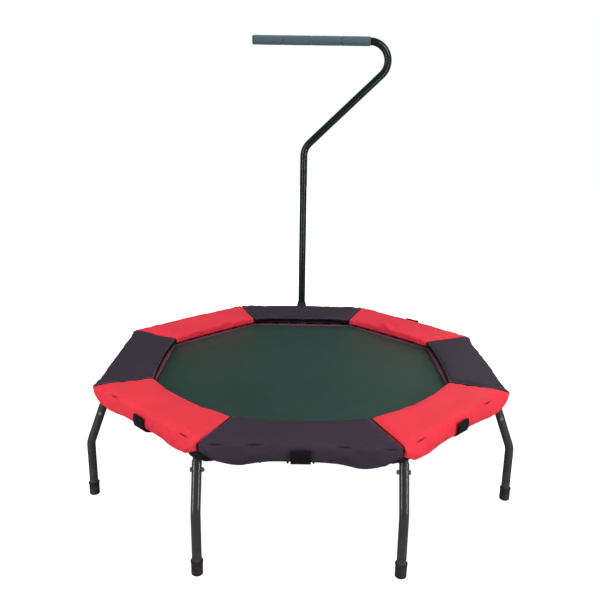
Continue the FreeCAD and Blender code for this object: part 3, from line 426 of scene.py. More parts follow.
# %% Tube paint
def tube_paint(name, colour, roughness, coat, peel):
    material, tree, place, _ = new_material(name, Roughness=roughness, Specular_IOR_Level=0.5,
            Coat_Weight=coat, Coat_Roughness=0.08)
    tone = toned(tree, place, 25.0, colour, 0.08)
    dust = use(tree, DUST, Vector=place, Reach=0.12, Amount=0.3)
    scuffed = remap(tree, tone["Mask"], 0, 1, roughness - 0.02, roughness + 0.03)
    return surface(material, blend_colour(tree, dust["Mask"], tone["Color"], (0.24, 0.23, 0.21, 1)),
            bump(tree, noise_texture(tree, place, 240.0, Detail=1.0), peel, 0.0002),
            maths(tree, "ADD", scuffed, maths(tree, "MULTIPLY", dust["Mask"], 0.4), clamp=True))


FRAME_PAINT = tube_paint("frame_black_paint", (0.030, 0.030, 0.032, 1), 0.42, 0.15, 0.35)
LEG_PAINT = tube_paint("leg_grey_paint", (0.034, 0.032, 0.034, 1), 0.20, 0.8, 0.05)
MAST_PAINT = tube_paint("handle_gloss_paint", (0.005, 0.015, 0.012, 1), 0.18, 0.3, 0.03)

# %% [markdown]
# ### Rubber, moulded plastic, plated steel, foam
# Moulded parts have a fine grain, zinc plate is bright but blotchy with fine scratches, and closed-cell
# foam has tiny open pores, painted darker: painted shade in the pores.

# %% Moulded, metal and foam materials
def moulded(name, colour, roughness, grain_scale, grain, dust_amount=0.0):
    material, tree, place, _ = new_material(name, Roughness=roughness, Specular_IOR_Level=0.45)
    grains = node(tree, "ShaderNodeTexVoronoi", {"Vector": place, "Scale": grain_scale}).outputs["Distance"]
    tone = toned(tree, place, 35.0, colour, 0.12)
    dust = use(tree, DUST, Vector=place, Reach=0.05, Amount=dust_amount)
    return surface(material, blend_colour(tree, dust["Mask"], tone["Color"], (0.27, 0.26, 0.24, 1)),
            bump(tree, grains, grain, 0.0003),
            remap(tree, tone["Mask"], 0, 1, roughness - 0.06, roughness + 0.08))


FOOT_RUBBER = moulded("foot_rubber", (0.017, 0.014, 0.016, 1), 0.68, 1500.0, 0.35, 0.2)
BLACK_PLASTIC = moulded("black_moulded_plastic", (0.016, 0.017, 0.018, 1), 0.40, 2200.0, 0.2)


def plated(name, colour, roughness):
    material, tree, place, _ = new_material(name, Metallic=1.0, Roughness=roughness)
    tone = toned(tree, place, 70.0, colour, 0.14)
    fine = node(tree, "ShaderNodeMapping", {"Vector": place, "Scale": (2500.0, 2500.0, 90.0)}).outputs[0]
    scratches = noise_texture(tree, fine, 1.0, Detail=1.0)
    return surface(material, tone["Color"], bump(tree, scratches, 0.08, 0.0002),
            remap(tree, scratches, 0.3, 0.7, roughness - 0.08, roughness + 0.12))


RING_STEEL = plated("zinc_ring_steel", (0.62, 0.62, 0.64, 1), 0.30)
BOLT_STEEL = plated("zinc_bolt_steel", (0.48, 0.49, 0.50, 1), 0.36)


def foam():
    material, tree, place, _ = new_material(
        "grip_foam_grey", Roughness=0.85, Specular_IOR_Level=0.25, Sheen_Weight=0.2, Sheen_Roughness=0.6)
    pores = node(tree, "ShaderNodeTexVoronoi", {"Vector": place, "Scale": 900.0}).outputs["Distance"]
    tone = toned(tree, place, 45.0, (0.078, 0.130, 0.155, 1), 0.12)
    # painted shade: the pores' centres go dark
    pore_shade = remap(tree, pores, 0.0, 0.28, 0.55, 0.0)
    return surface(material, blend_colour(tree, pore_shade, tone["Color"], (0.03, 0.04, 0.045, 1)),
            bump(tree, pores, 0.5, 0.0005), remap(tree, tone["Mask"], 0, 1, 0.74, 0.92))


GRIP_FOAM = foam()
print("materials:", len(bpy.data.materials))

# %% [markdown]
# ## Hard parts from the CAD
# Tubes, bolts, caps and the clamp keep their true shape and only get their finish, by the start of the
# name.

# %% Dress the CAD nodes
FINISHES = (("frame_rail", FRAME_PAINT), ("leg_spigots", FRAME_PAINT), ("leg_bolts", BOLT_STEEL),
        ("leg_nuts", BOLT_STEEL), ("leg_", LEG_PAINT), ("foot_cap", FOOT_RUBBER),
        ("mast_tube", MAST_PAINT), ("mast_foot_plug", BLACK_PLASTIC), ("mast_collar", BLACK_PLASTIC),
        ("socket_tube", MAST_PAINT),
        ("rail_bracket", FRAME_PAINT), ("brace_tube", FRAME_PAINT), ("brace_clamps", FRAME_PAINT),
        ("clamp_bolts", BOLT_STEEL), ("clamp_boss", BOLT_STEEL), ("clamp_stud", BOLT_STEEL),
        ("clamp_knob", BLACK_PLASTIC), ("grip_end_cap", BLACK_PLASTIC), ("d_rings", RING_STEEL))
dressed = []
for name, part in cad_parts.items():
    finish = next((material for start, material in FINISHES if name.startswith(start)), None)
    if finish:
        for material_slot in part.material_slots:
            material_slot.material = finish
        dressed.append(name)
print("dressed", len(dressed), "CAD nodes; to replace:", sorted(set(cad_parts) - set(dressed)))

# %% [markdown]
# ## Making pieces
# Every new piece is built in a bmesh, in metres, where it stands, and goes through one helper that cleans
# it, gives it its material and lets it ride on its body. The octagon's sides are drawn once, in the rear
# side's place, and turned.

# %% Piece helpers
SIDES = ("front", "front_right", "right", "rear_right", "rear", "rear_left", "left", "front_left")
STEP = math.radians(45)
TAN_HALF = math.tan(STEP / 2)
COS_HALF = math.cos(STEP / 2)


def side_turn(index):
    return Matrix.Rotation(index * STEP - math.pi, 4, "Z")


def corner_turn(index):
    """Turns +Y to the corner after the given side."""
    return Matrix.Rotation((index + 0.5) * STEP - math.pi, 4, "Z")


def make_piece(name, shape, material, body, smooth=True):
    bmesh.ops.remove_doubles(shape, verts=shape.verts, dist=1e-6)
    bmesh.ops.recalc_face_normals(shape, faces=shape.faces)
    mesh = bpy.data.meshes.new(name)
    shape.to_mesh(mesh)
    shape.free()
    mesh.polygons.foreach_set("use_smooth", [smooth] * len(mesh.polygons))
    mesh.materials.append(material)
    piece = bpy.data.objects.new(name, mesh)
    scene.collection.objects.link(piece)
    if body:
        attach(piece, body)
    return piece


def bevel(shape, geom, radius, segments, affect="VERTICES"):
    bmesh.ops.bevel(shape, geom=geom, offset=radius, offset_type="OFFSET", segments=segments, profile=0.5,
            affect=affect, material=-1)


def push_edges(shape, edges, step):
    """Extrude a line of edges and move it; returns the new line and its points."""
    grown = bmesh.ops.extrude_edge_only(shape, edges=edges)["geom"]
    fresh = [part for part in grown if isinstance(part, bmesh.types.BMVert)]
    bmesh.ops.translate(shape, verts=fresh, vec=step)
    points = set(fresh)
    made = [part for part in grown if isinstance(part, bmesh.types.BMEdge)]
    return [edge for edge in made if points.issuperset(edge.verts)], fresh


def add_modifier(piece, kind, **settings):
    made = piece.modifiers.new(kind.lower(), kind)
    for name, value in settings.items():
        setattr(made, name, value)
    return made


def round_off(piece, levels=1):
    return add_modifier(piece, "SUBSURF", levels=levels, render_levels=levels)


def thicken(piece, thickness):
    return add_modifier(piece, "SOLIDIFY", thickness=thickness, offset=0.0)


# %% [markdown]
# ## Padded covers
# Each side has a flat foam pad whose cover comes down over the tube as a puffy skirt. The L-shaped section
# is drawn once, rounded with a bevel and extruded along the side in small steps. That even grid can be
# shaped, and then inflated by the cloth solver, which makes the small tension folds.

# %% The pad's section
REAR_LOW, REAR_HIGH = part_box("pad_panel_rear")
INNER_Y, OUTER_Y, HEM_Z, TOP_Z = REAR_LOW.y, REAR_HIGH.y, REAR_LOW.z, REAR_HIGH.z
FOAM, SKIRT, FRONT_BOW, BACK_BOW = 18 * MM, 13 * MM, 25 * MM, 6 * MM
DROP = TOP_Z - HEM_Z
PITCH, BEND_R = 6 * MM, 5 * MM
HALF_LENGTH = OUTER_Y * TAN_HALF


def bow(side):
    """How far the middle of the opening's edge is bowed outwards."""
    return FRONT_BOW if side.startswith("front") else BACK_BOW


print("pad from", round(INNER_Y, 4), "to", round(OUTER_Y, 4), "top", round(TOP_Z, 4), "hem", round(HEM_Z, 4))


def pad_grid():
    """The section's loop, extruded along x from mitre to mitre."""
    shape = bmesh.new()
    corners = [(INNER_Y, TOP_Z - FOAM), (INNER_Y, TOP_Z), (OUTER_Y, TOP_Z), (OUTER_Y, HEM_Z),
            (OUTER_Y - SKIRT, HEM_Z), (OUTER_Y - SKIRT, TOP_Z - FOAM)]
    section = [shape.verts.new((-HALF_LENGTH, y, z)) for y, z in corners]
    shape.faces.new(section)
    for picked, segments in ((section[2:3], 6), (section[3:5], 4), (section[:2], 3)):
        bevel(shape, picked, BEND_R, segments)
    for edge in list(shape.edges):
        outermost = max(end.co.y for end in edge.verts)
        hidden = edge.verts[0].co.z < TOP_Z - FOAM + 1e-6 and outermost < OUTER_Y - 1e-6
        cuts = int(edge.calc_length() / (PITCH * (2 if hidden else 0.9)))
        if cuts > 0:
            bmesh.ops.subdivide_edges(shape, edges=[edge], cuts=cuts)
    bmesh.ops.delete(shape, geom=list(shape.faces), context="FACES_ONLY")
    steps = round(2 * HALF_LENGTH / PITCH)
    loop = list(shape.edges)
    for _ in range(steps):
        loop, _ = push_edges(shape, loop, (2 * HALF_LENGTH / steps, 0, 0))
    bmesh.ops.holes_fill(shape, edges=[edge for edge in shape.edges if edge.is_boundary], sides=0)
    return shape


# %% [markdown]
# The flat grid becomes a pad in one pass over its points. Each rule is a thing that happens to the real
# cover: mitred to its neighbours, bowed at the opening, drawn in at every seam, pulled up by its strap,
# tucked in at the skirt's ends, and raised or lowered at the corners.

# %% Shape one point of a pad
def smooth_step(low, high, value):
    share = min(max((value - low) / (high - low), 0), 1)
    return share * share * (3 - 2 * share)


def near(value, centre, width):
    return math.exp(-((value - centre) / width) ** 2)


def hem_drop(along, side):
    """How far the hem hangs below the top: lower beside the strap than under it."""
    away = abs(along)
    lobes = (44 + (12 if side == "front" else 6) * near(away, 0.60, 0.20)) * MM
    return lobes - (lobes - 29 * MM) * smooth_step(0.80, 0.98, away)


# how far the cover stands above its nominal height at the corner after each side, in mm
CORNER_LIFT = (-5, 0, 2, 6, 6, 9, 1, 5)


def corner_lift(along, side):
    after = SIDES.index(side)
    share = (1 - along) / 2
    return (CORNER_LIFT[after - 1] * (1 - share) + CORNER_LIFT[after] * share) * MM


SLITS = {"front": (-0.87, -0.42, 0.45, 0.83), "front_left": (-0.75, 0.55), "front_right": (-0.55, 0.70),
        "left": (-0.5, 0.6), "right": (-0.62, 0.5), "rear": (-0.45, 0.52), "rear_left": (-0.6, 0.4),
        "rear_right": (-0.4, 0.66)}
# places of soft folds: side, along (-1 to 1), across (m from the opening), height, width along, width across
FOLDS = {"rear_right": ((-0.10, 0.022, 15.0, 0.13, 0.014), (-0.04, 0.050, -6.0, 0.12, 0.012),
        (0.28, 0.060, -2.5, 0.20, 0.030)),
        "rear_left": ((0.30, 0.016, 6.0, 0.14, 0.012),),
        "front_right": ((0.35, 0.025, 2.5, 0.10, 0.020), (-0.30, 0.090, -2.0, 0.22, 0.020)),
        "rear": ((0.05, 0.012, 3.5, 0.60, 0.012),)}


def shape_point(point, side, seed):
    along, y, z = point.x / HALF_LENGTH, point.y, point.z
    sign, away = (1 if along >= 0 else -1), abs(along)
    to_seam = (1 - away) * y * TAN_HALF
    on_skirt = smooth_step(OUTER_Y - SKIRT - 1 * MM, OUTER_Y - SKIRT + 1 * MM, y)
    down = (TOP_Z - z) / DROP
    across = min(y - INNER_Y, OUTER_Y - y)
    full = 1 - math.exp(-to_seam / (14 * MM))
    place = Vector((point.x * 9, y * 9, seed * 3.7))
    new_y, new_z = y, z
    if on_skirt > 0.5:
        new_z = TOP_Z - down * hem_drop(along, side)
        tuck = math.sqrt(max(0.0, 1 - (max(away - 0.90, 0) / 0.10) ** 2))
        strap = 0.45 * near(point.x, 0, 32 * MM) if side != "rear" else 0
        belly = math.sin(math.pi * min(down * 0.96 + 0.04, 1)) ** 0.8 * (1 - strap) * (0.75 + 0.25 * tuck)
        outward = smooth_step(OUTER_Y - SKIRT + 2 * MM, OUTER_Y - 2 * MM, y)
        new_y += 5.0 * MM * belly * outward - 5.5 * MM * (1 - tuck) * outward * smooth_step(0.1, 0.6, down)
        new_z += 8 * MM * (1 - tuck) * down
        pucker = noise.noise(Vector((point.x * 55, seed * 5.1, 0))) * near(down, 0.12, 0.22)
        new_y += 1.6 * MM * pucker * outward * full
        new_y += 1.3 * MM * noise.noise(Vector((point.x * 22, down * 2.5, seed * 2.3))) * outward * full
    if z > TOP_Z - 1e-5:
        fill = full * (1 - math.exp(-across / (13 * MM)))
        new_z += 2.6 * MM * fill - 1.6 * MM * (1 - full)
        new_z += 1.0 * MM * noise.noise(place) * fill
        for spot, inside, height, wide, deep in FOLDS.get(side, ()):
            new_z += height * MM * near(along, spot, wide) * near(y - INNER_Y, inside, deep)
    crease = math.hypot(y - OUTER_Y, z - TOP_Z)
    slit = max(near(along, spot, 0.07) for spot in SLITS[side])
    dent = (1.2 + 1.0 * slit) * MM * near(crease, 2 * MM, 3.2 * MM)
    new_y, new_z = new_y - dent * 0.7, new_z - dent * 0.7
    inward = 1 - smooth_step(INNER_Y, OUTER_Y - SKIRT, y)
    new_z += corner_lift(along, side) * (1 - inward)
    new_y += bow(side) * (1 - along * along) * inward
    new_x = sign * max(away * y * TAN_HALF - 0.5 * MM * smooth_step(0.9, 1, away), 0)
    return Vector((new_x, new_y, new_z))


# %% Make the eight pads
def darkness(point, side, charcoal):
    """Where the cover is painted black: painted shade in the crease's slits, and on a charcoal pad's inner
    edge a black binding that is partly painted shade.
    """
    along = point.x / HALF_LENGTH
    slit = min(1.6 * max(near(along, spot, 0.055) for spot in SLITS[side]), 1)
    angle = math.atan2(point.z - TOP_Z + BEND_R, point.y - OUTER_Y + BEND_R)
    on_bend = point.y > OUTER_Y - 5.2 * MM and point.z > TOP_Z - 5.2 * MM
    # black in the crease's slits: painted shade in the opened seam
    shade = slit * near(angle, math.radians(50), math.radians(17)) * on_bend
    # black band over a charcoal pad's inner face: a binding, and partly painted shade on that face
    binding_and_edge_shade = charcoal and point.y < INNER_Y + 1 * MM and point.z < TOP_Z - 4 * MM
    return 1.0 if binding_and_edge_shade else shade


def pad_panel(index):
    side = SIDES[index]
    charcoal = index % 2 == 0
    shape = pad_grid()
    cloth = shape.loops.layers.uv.new("cloth")
    run = shape.verts.layers.float.new("run")
    turn = side_turn(index)
    for vertex in shape.verts:
        vertex[run] = vertex.co.y - vertex.co.z
    slit_shade_and_binding, sewn = shape.verts.layers.float.new("slit_shade_and_binding"), shape.verts.layers.float.new("sewn")
    flat = {vertex: (vertex.co.x * vertex.co.y / OUTER_Y, vertex[run]) for vertex in shape.verts}
    for face in shape.faces:
        for corner in face.loops:
            corner[cloth].uv = flat[corner.vert]
    for vertex in shape.verts:
        # painted shade in the crease's slits, and the binding with painted shade on the inner face
        vertex[slit_shade_and_binding] = darkness(vertex.co, side, charcoal)
        underneath = vertex.co.z < TOP_Z - FOAM + 1e-5 and vertex.co.y < OUTER_Y - 3 * MM
        vertex[sewn] = underneath or abs(vertex.co.x) > 0.985 * HALF_LENGTH
        vertex.co = turn @ shape_point(vertex.co, side, index)
    piece = make_piece(f"pad_{side}", shape, PAD_CHARCOAL if charcoal else PAD_RED, "frame")
    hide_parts(f"pad_panel_{side}")
    return piece


pads = [pad_panel(index) for index in range(8)]
print("pads:", len(pads), "points each", len(pads[0].data.vertices))

# %% [markdown]
# The solver inflates all eight covers at once. Undersides and mitred ends are pinned, the cloth is cut a
# little too large, and no point may move more than a few millimetres, so the pads wrinkle without swelling
# out of the space that the frame gives them.

# %% Inflate the covers
REACH = 5 * MM


def inflate(pads, frames=20):
    for piece in pads:
        marks = piece.data.attributes["sewn"].data
        held = [number for number, mark in enumerate(marks) if mark.value > 0.5]
        group = piece.vertex_groups.new(name="sewn")
        group.add(held, 1.0, "REPLACE")
        settings = piece.modifiers.new("inflate", "CLOTH").settings
        settings.quality, settings.mass, settings.vertex_group_mass = 5, 0.25, "sewn"
        settings.use_pressure, settings.uniform_pressure_force = True, 2.2
        settings.shrink_min = -0.018
        settings.tension_stiffness = settings.compression_stiffness = 18
        settings.shear_stiffness, settings.bending_stiffness = 8, 0.8
        settings.effector_weights.gravity = 0
    for number in range(1, frames + 1):
        scene.frame_set(number)
    ready = bpy.context.evaluated_depsgraph_get()
    for piece in pads:
        moved = piece.evaluated_get(ready).data.vertices
        longest = 0
        places = []
        for vertex, after in zip(piece.data.vertices, moved):
            step = after.co - vertex.co
            longest = max(longest, step.length)
            if step.length > REACH:
                step *= REACH / step.length
            places.append(vertex.co + step)
        piece.modifiers.clear()
        for vertex, place in zip(piece.data.vertices, places):
            vertex.co = place
        print(piece.name, "moved up to", round(longest / MM, 1), "mm")
    scene.frame_set(1)


inflate(pads)
for piece in pads:
    round_off(piece)

# %% [markdown]
# ## Piping in the seams
# A black cord is sewn into each seam between two pads: a bevelled curve just proud of the valley, and over
# the corner.

# %% Seam piping
def tube_along(points, radius, sides=2):
    """A bmesh tube along a smooth line through the given points."""
    curve = bpy.data.curves.new("line", "CURVE")
    curve.dimensions, curve.bevel_depth, curve.bevel_resolution, curve.resolution_u = "3D", radius, sides, 3
    curve.use_fill_caps = True
    line = curve.splines.new("NURBS")
    line.points.add(len(points) - 1)
    for point, place in zip(line.points, points):
        point.co = (*place, 1)
    line.order_u, line.use_endpoint_u = 3, True
    drawn = bpy.data.objects.new("line", curve)
    scene.collection.objects.link(drawn)
    shape = bmesh.new()
    ready = bpy.context.evaluated_depsgraph_get()
    shape.from_mesh(bpy.data.meshes.new_from_object(drawn.evaluated_get(ready)))
    bpy.data.objects.remove(drawn)
    return shape


def merge_turned(target, source, turn):
    """Copy one bmesh into another, turned."""
    copy = bpy.data.meshes.new("copy")
    source.to_mesh(copy)
    copy.transform(turn)
    target.from_mesh(copy)
    bpy.data.meshes.remove(copy)


INNER_R, OUTER_R = INNER_Y / COS_HALF, OUTER_Y / COS_HALF
seam_line = tube_along([(0, INNER_R + y * MM, TOP_Z + z * MM) for y, z in
        ((1, -13), (-0.5, -5), (1, -0.8), (6, 0.1), (60, 0.4))]
        + [(0, OUTER_R + y * MM, TOP_Z + z * MM) for y, z in
        ((-60, 0.4), (-9, 0.2), (-2.5, -1.2), (-4.0, -8), (-7, -20), (-9, -28))], 1.5 * MM)
seams = bmesh.new()
for index in range(8):
    merge_turned(seams, seam_line, corner_turn(index))
seam_line.free()
piping = make_piece("seam_piping", seams, BLACK_CLOTH, "frame")
print("piping faces", len(piping.data.polygons))

# %% [markdown]
# ## The jumping mat
# One flat octagon of woven tape, cut from a square: a fine grid trimmed by eight planes, with its
# thickness from Solidify.

# %% Mat
MAT_LOW, MAT_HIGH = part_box("jump_mat")
BORDER_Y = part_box("mat_border")[1].y
LAYER_Z = (MAT_LOW.z + MAT_HIGH.z) / 2
MAT_Y = MAT_HIGH.y


def octagon_grid(apothem, spacing):
    shape = bmesh.new()
    count = round(2 * apothem / spacing)
    bmesh.ops.create_grid(shape, x_segments=count, y_segments=count, size=apothem)
    for index in range(8):
        outward = side_turn(index) @ Vector((0, 1, 0))
        bmesh.ops.bisect_plane(shape, geom=[*shape.verts, *shape.edges, *shape.faces], dist=1e-6,
                plane_co=outward * apothem, plane_no=outward, clear_outer=True)
    return shape


woven = octagon_grid(MAT_Y + 3 * MM, 15 * MM)
for vertex in woven.verts:
    vertex.co.z = LAYER_Z - 1.2 * MM * near(vertex.co.length, 0, 0.25)
jump_mat = make_piece("jumping_mat", woven, MAT_WOVEN, "mat")
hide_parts("jump_mat")
thicken(jump_mat, 1.0 * MM)

# %% [markdown]
# ## The mat's border
# Pink webbing folded over the mat's edge and sewn down with two rows. Inset makes the band, a bevelled
# Solidify rounds it, and its UV map runs along each side, so that the ribs follow the band.

# %% Border
def side_uv(shape, index_of):
    """UV in metres: along the octagon's side, and outwards."""
    cloth = shape.loops.layers.uv.new("cloth")
    for face in shape.faces:
        turn = side_turn(index_of(face)).inverted()
        for corner in face.loops:
            local = turn @ corner.vert.co
            corner[cloth].uv = (local.x, local.y)


def nearest_side(face):
    middle = face.calc_center_median()
    angle = math.atan2(-middle.x, middle.y) + math.pi
    return round(angle / STEP) % 8


band = bmesh.new()
outline = bmesh.ops.create_circle(band, cap_ends=True, segments=8, radius=BORDER_Y / COS_HALF)["verts"]
bmesh.ops.rotate(band, verts=outline, cent=(0, 0, 0), matrix=Matrix.Rotation(STEP / 2, 3, "Z"))
bmesh.ops.inset_region(band, faces=list(band.faces), thickness=BORDER_Y - MAT_Y, use_even_offset=True,
        use_boundary=True)
centre = min(band.faces, key=lambda face: face.calc_center_median().length)
bmesh.ops.delete(band, geom=[centre], context="FACES")
long_edges = [edge for edge in band.edges if edge.calc_length() > 0.2]
bmesh.ops.subdivide_edges(band, edges=long_edges, cuts=14, use_grid_fill=True)
bmesh.ops.translate(band, verts=band.verts, vec=(0, 0, LAYER_Z))
side_uv(band, nearest_side)
border = make_piece("mat_border_webbing", band, PINK_BORDER, "mat", smooth=False)
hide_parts("mat_border")
thicken(border, 3 * MM)
add_modifier(border, "BEVEL", width=0.8 * MM, segments=2, limit_method="ANGLE")


# %% Stitch rows on the border
def stitch(length, width, height):
    """One short thread: a flattened bead of a few faces."""
    shape = bmesh.new()
    bmesh.ops.create_cube(shape, size=1)
    bmesh.ops.scale(shape, verts=shape.verts, vec=(length, width, height))
    bevel(shape, list(shape.edges), min(width, height) * 0.35, 1, "EDGES")
    return shape


def stitch_row(target, bead, places):
    """Put a bead at each place, given as (middle, direction along the seam, surface normal)."""
    for middle, heading, normal in places:
        heading = (heading - normal * heading.dot(normal)).normalized()
        sideways = normal.cross(heading)
        turn = Matrix((heading, sideways, normal)).transposed().to_4x4()
        merge_turned(target, bead, Matrix.Translation(middle) @ turn)


def stitch_points(start, end, pitch):
    count = max(int((end - start).length / pitch), 1)
    return [start.lerp(end, (number + 0.5) / count) for number in range(count)]


rows = bmesh.new()
bead = stitch(4.2 * MM, 0.9 * MM, 0.7 * MM)
UP = Vector((0, 0, 1))
for index in range(8):
    turn = side_turn(index)
    for apothem in (MAT_Y + 4 * MM, BORDER_Y - 4 * MM):
        half = apothem * TAN_HALF
        ends = [turn @ Vector((x, apothem, LAYER_Z + 1.6 * MM)) for x in (-half, half)]
        heading = (ends[1] - ends[0]).normalized()
        stitch_row(rows, bead, [(place, heading, UP) for place in stitch_points(*ends, 6.5 * MM)])
border_rows = make_piece("border_stitching", rows, BLACK_THREAD, "mat")
print("border stitches", len(border_rows.data.polygons) // len(bead.faces))

# %% [markdown]
# ## Tabs and elastic loops
# Forty-eight tabs hold the steel rings, each one strap folded round its ring's bar. Each elastic cord is a
# closed loop round the frame tube and through a ring: spins for its ends, extrusions for its straight
# runs, reaching from the frame to the mat.

# %% Ring places
RAIL_LOW, RAIL_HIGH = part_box("frame_rail_rear")
RAIL_Y, RAIL_Z, RAIL_R = (RAIL_LOW.y + RAIL_HIGH.y) / 2, (RAIL_LOW.z + RAIL_HIGH.z) / 2, 16 * MM
BAR_Y, TIP_Y, ROD_R, CORD_R = BORDER_Y + 14 * MM, BORDER_Y + 36 * MM, 2.5 * MM, 3 * MM
RING_X = [sign * x * MM for x in (32, 100.5, 169) for sign in (1, -1)]
print("rail at", round(RAIL_Y, 4), round(RAIL_Z, 4), "ring bar", round(BAR_Y, 4))


def strip(path, width, columns=1):
    """A strap's middle surface: a line in the y-z plane, extruded across its width, with UVs in metres."""
    shape = bmesh.new()
    cloth = shape.loops.layers.uv.verify()
    line = [shape.verts.new((-width / 2, y, z)) for y, z in path]
    edges = [shape.edges.new(pair) for pair in zip(line, line[1:])]
    travelled = [0.0]
    for edge in edges:
        travelled.append(travelled[-1] + edge.calc_length())
    length_at = dict(zip(line, travelled))
    for _ in range(columns):
        edges, fresh = push_edges(shape, edges, (width / columns, 0, 0))
        for end in fresh:
            before = min(length_at, key=lambda known: (known.co - end.co).length)
            length_at[end] = length_at[before]
    for face in shape.faces:
        for corner in face.loops:
            corner[cloth].uv = (length_at[corner.vert], corner.vert.co.x)
    return shape


# %% Tabs
EYE = 3.5 * MM
eye_turns = [(BAR_Y + EYE * math.sin(angle), LAYER_Z + EYE * math.cos(angle))
        for angle in (math.radians(step) for step in range(0, 181, 30))]
tab_path = [(BORDER_Y - 20 * MM, LAYER_Z + 2.4 * MM), (BORDER_Y - 2 * MM, LAYER_Z + 2.4 * MM), *eye_turns,
        (BORDER_Y - 2 * MM, LAYER_Z - 2.4 * MM), (BORDER_Y - 20 * MM, LAYER_Z - 2.4 * MM)]
one_tab = strip(tab_path, 22 * MM)
tabs = bmesh.new()
tabs.loops.layers.uv.new("cloth")
for index in range(8):
    for x in RING_X:
        merge_turned(tabs, one_tab, side_turn(index) @ Matrix.Translation((x, 0, 0)))
one_tab.free()
tab_piece = make_piece("ring_tab_webbing", tabs, BLACK_WEBBING, "mat")
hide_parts("ring_tabs")
thicken(tab_piece, 1.3 * MM)


# %% Elastic loops
def elastic_loop():
    """One closed cord in the plane x = 0, round the rail and the ring's tip."""
    big, small = RAIL_R + CORD_R + 0.3 * MM, ROD_R + CORD_R + 0.3 * MM
    rail, tip = Vector((0, RAIL_Y, RAIL_Z)), Vector((0, TIP_Y, LAYER_Z))
    line = tip - rail
    lean = math.atan2(line.z, line.y)
    open_angle = math.acos((big - small) / line.length)
    shape = bmesh.new()
    start, upper = lean + open_angle, lean - open_angle
    ring = bmesh.ops.create_circle(shape, segments=8, radius=CORD_R)["verts"]
    bmesh.ops.rotate(shape, verts=ring, cent=(0, 0, 0), matrix=Matrix.Rotation(start, 3, "X"))
    bmesh.ops.translate(shape, verts=ring, vec=rail + Vector((0, math.cos(start), math.sin(start))) * big)
    loop = list(shape.edges)
    first = list(loop)

    def turn_about(loop, centre, angle, steps):
        turned = bmesh.ops.spin(shape, geom=loop, cent=centre, axis=(1, 0, 0), angle=angle, steps=steps,
                use_merge=False)["geom_last"]
        return [part for part in turned if isinstance(part, bmesh.types.BMEdge)]

    loop = turn_about(loop, rail, 2 * math.pi - 2 * open_angle, 14)
    along = (tip + Vector((0, math.cos(upper), math.sin(upper))) * small
            - rail - Vector((0, math.cos(upper), math.sin(upper))) * big)
    for _ in range(4):
        loop, _ = push_edges(shape, loop, along / 4)
    loop = turn_about(loop, tip, 2 * open_angle, 7)
    bmesh.ops.bridge_loops(shape, edges=loop + first)
    cloth = shape.loops.layers.uv.new("cloth")
    for face in shape.faces:
        for corner in face.loops:
            place = corner.vert.co
            around = math.atan2(place.x, place.z - RAIL_Z)
            corner[cloth].uv = (place.y - place.z, around * CORD_R)
    return shape


one_loop = elastic_loop()
for index, side in enumerate(SIDES):
    loops = bmesh.new()
    loops.loops.layers.uv.new("cloth")
    for x in RING_X:
        merge_turned(loops, one_loop, side_turn(index) @ Matrix.Translation((x, 0, 0)))
    cords = make_piece(f"elastic_loops_{side}", loops, ELASTIC_BRAID, None)
    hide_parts("bungee_loops")
    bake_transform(cords)
print("one loop has", len(one_loop.faces), "faces")

# %% [markdown]
# ## Cover straps
# Seven straps hold the skirts down: out of the crease, over the skirt, under the tube and up inside. No
# two lie alike, so each has its own small wave and twist, and one stands up in a loop.

# %% Straps
STRAP_PATH = ((611, 340), (614.6, 338.5), (616.2, 333), (616.4, 324), (615.4, 313), (612.5, 305),
        (607, 300.5), (599, 297.6), (587, 293.4), (574.4, 292.3), (563, 293.6), (557.4, 299),
        (556.4, 310), (556.3, 329))
STANDING_LOOP = ((600, 350), (603, 358), (609.5, 361), (614.5, 354), (616, 344))
STRAP_WIDTH = 50 * MM
# side: wave of the upper end, twist, flare of one corner (mm)
STRAP_LIES = {"front": (0.4, 0.5, 0.0), "front_left": (1.6, -1.0, 0.6), "front_right": (0.8, 0.6, 4.5),
        "left": (1.0, 0.8, 0.0), "right": (0.7, -0.8, 1.0), "rear_left": (0.9, 0.4, 0.0),
        "rear_right": (1.2, -0.5, 2.0)}


def cover_strap(index, wave, twist, flare):
    side = SIDES[index]
    path = STANDING_LOOP + STRAP_PATH[2:] if side == "rear_right" else STRAP_PATH
    shape = strip([(y * MM, z * MM) for y, z in path], STRAP_WIDTH, columns=8)
    for vertex in shape.verts:
        if vertex.co.y < OUTER_Y - 6 * MM or vertex.co.z < HEM_Z + 2 * MM:
            continue
        across = vertex.co.x / (STRAP_WIDTH / 2)
        up_share = smooth_step(HEM_Z, TOP_Z - 6 * MM, vertex.co.z)
        vertex.co.y += (wave * math.sin(across * 5 + index) * up_share + twist * across * up_share) * MM
        vertex.co.y += flare * MM * max(across, 0) ** 3 * up_share
        vertex.co.z += flare * 0.5 * MM * max(across, 0) ** 3 * up_share
        vertex.co.y += 0.8 * MM
    shape.transform(side_turn(index))
    piece = make_piece(f"cover_strap_{side}", shape, BLACK_WEBBING, "frame")
    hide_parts("cover_straps")
    round_off(piece)
    thicken(piece, 1.5 * MM)
    add_modifier(piece, "BEVEL", width=0.4 * MM, segments=2, limit_method="ANGLE")
    return piece


straps = [cover_strap(SIDES.index(side), *lies) for side, lies in STRAP_LIES.items()]
print("straps", len(straps))

# %% [markdown]
# ## Pale stitching
# The charcoal covers are sewn in pale thread inside each edge. The rows are laid out flat, and each stitch
# is dropped on to the finished cover with a ray, so that it follows every dent.

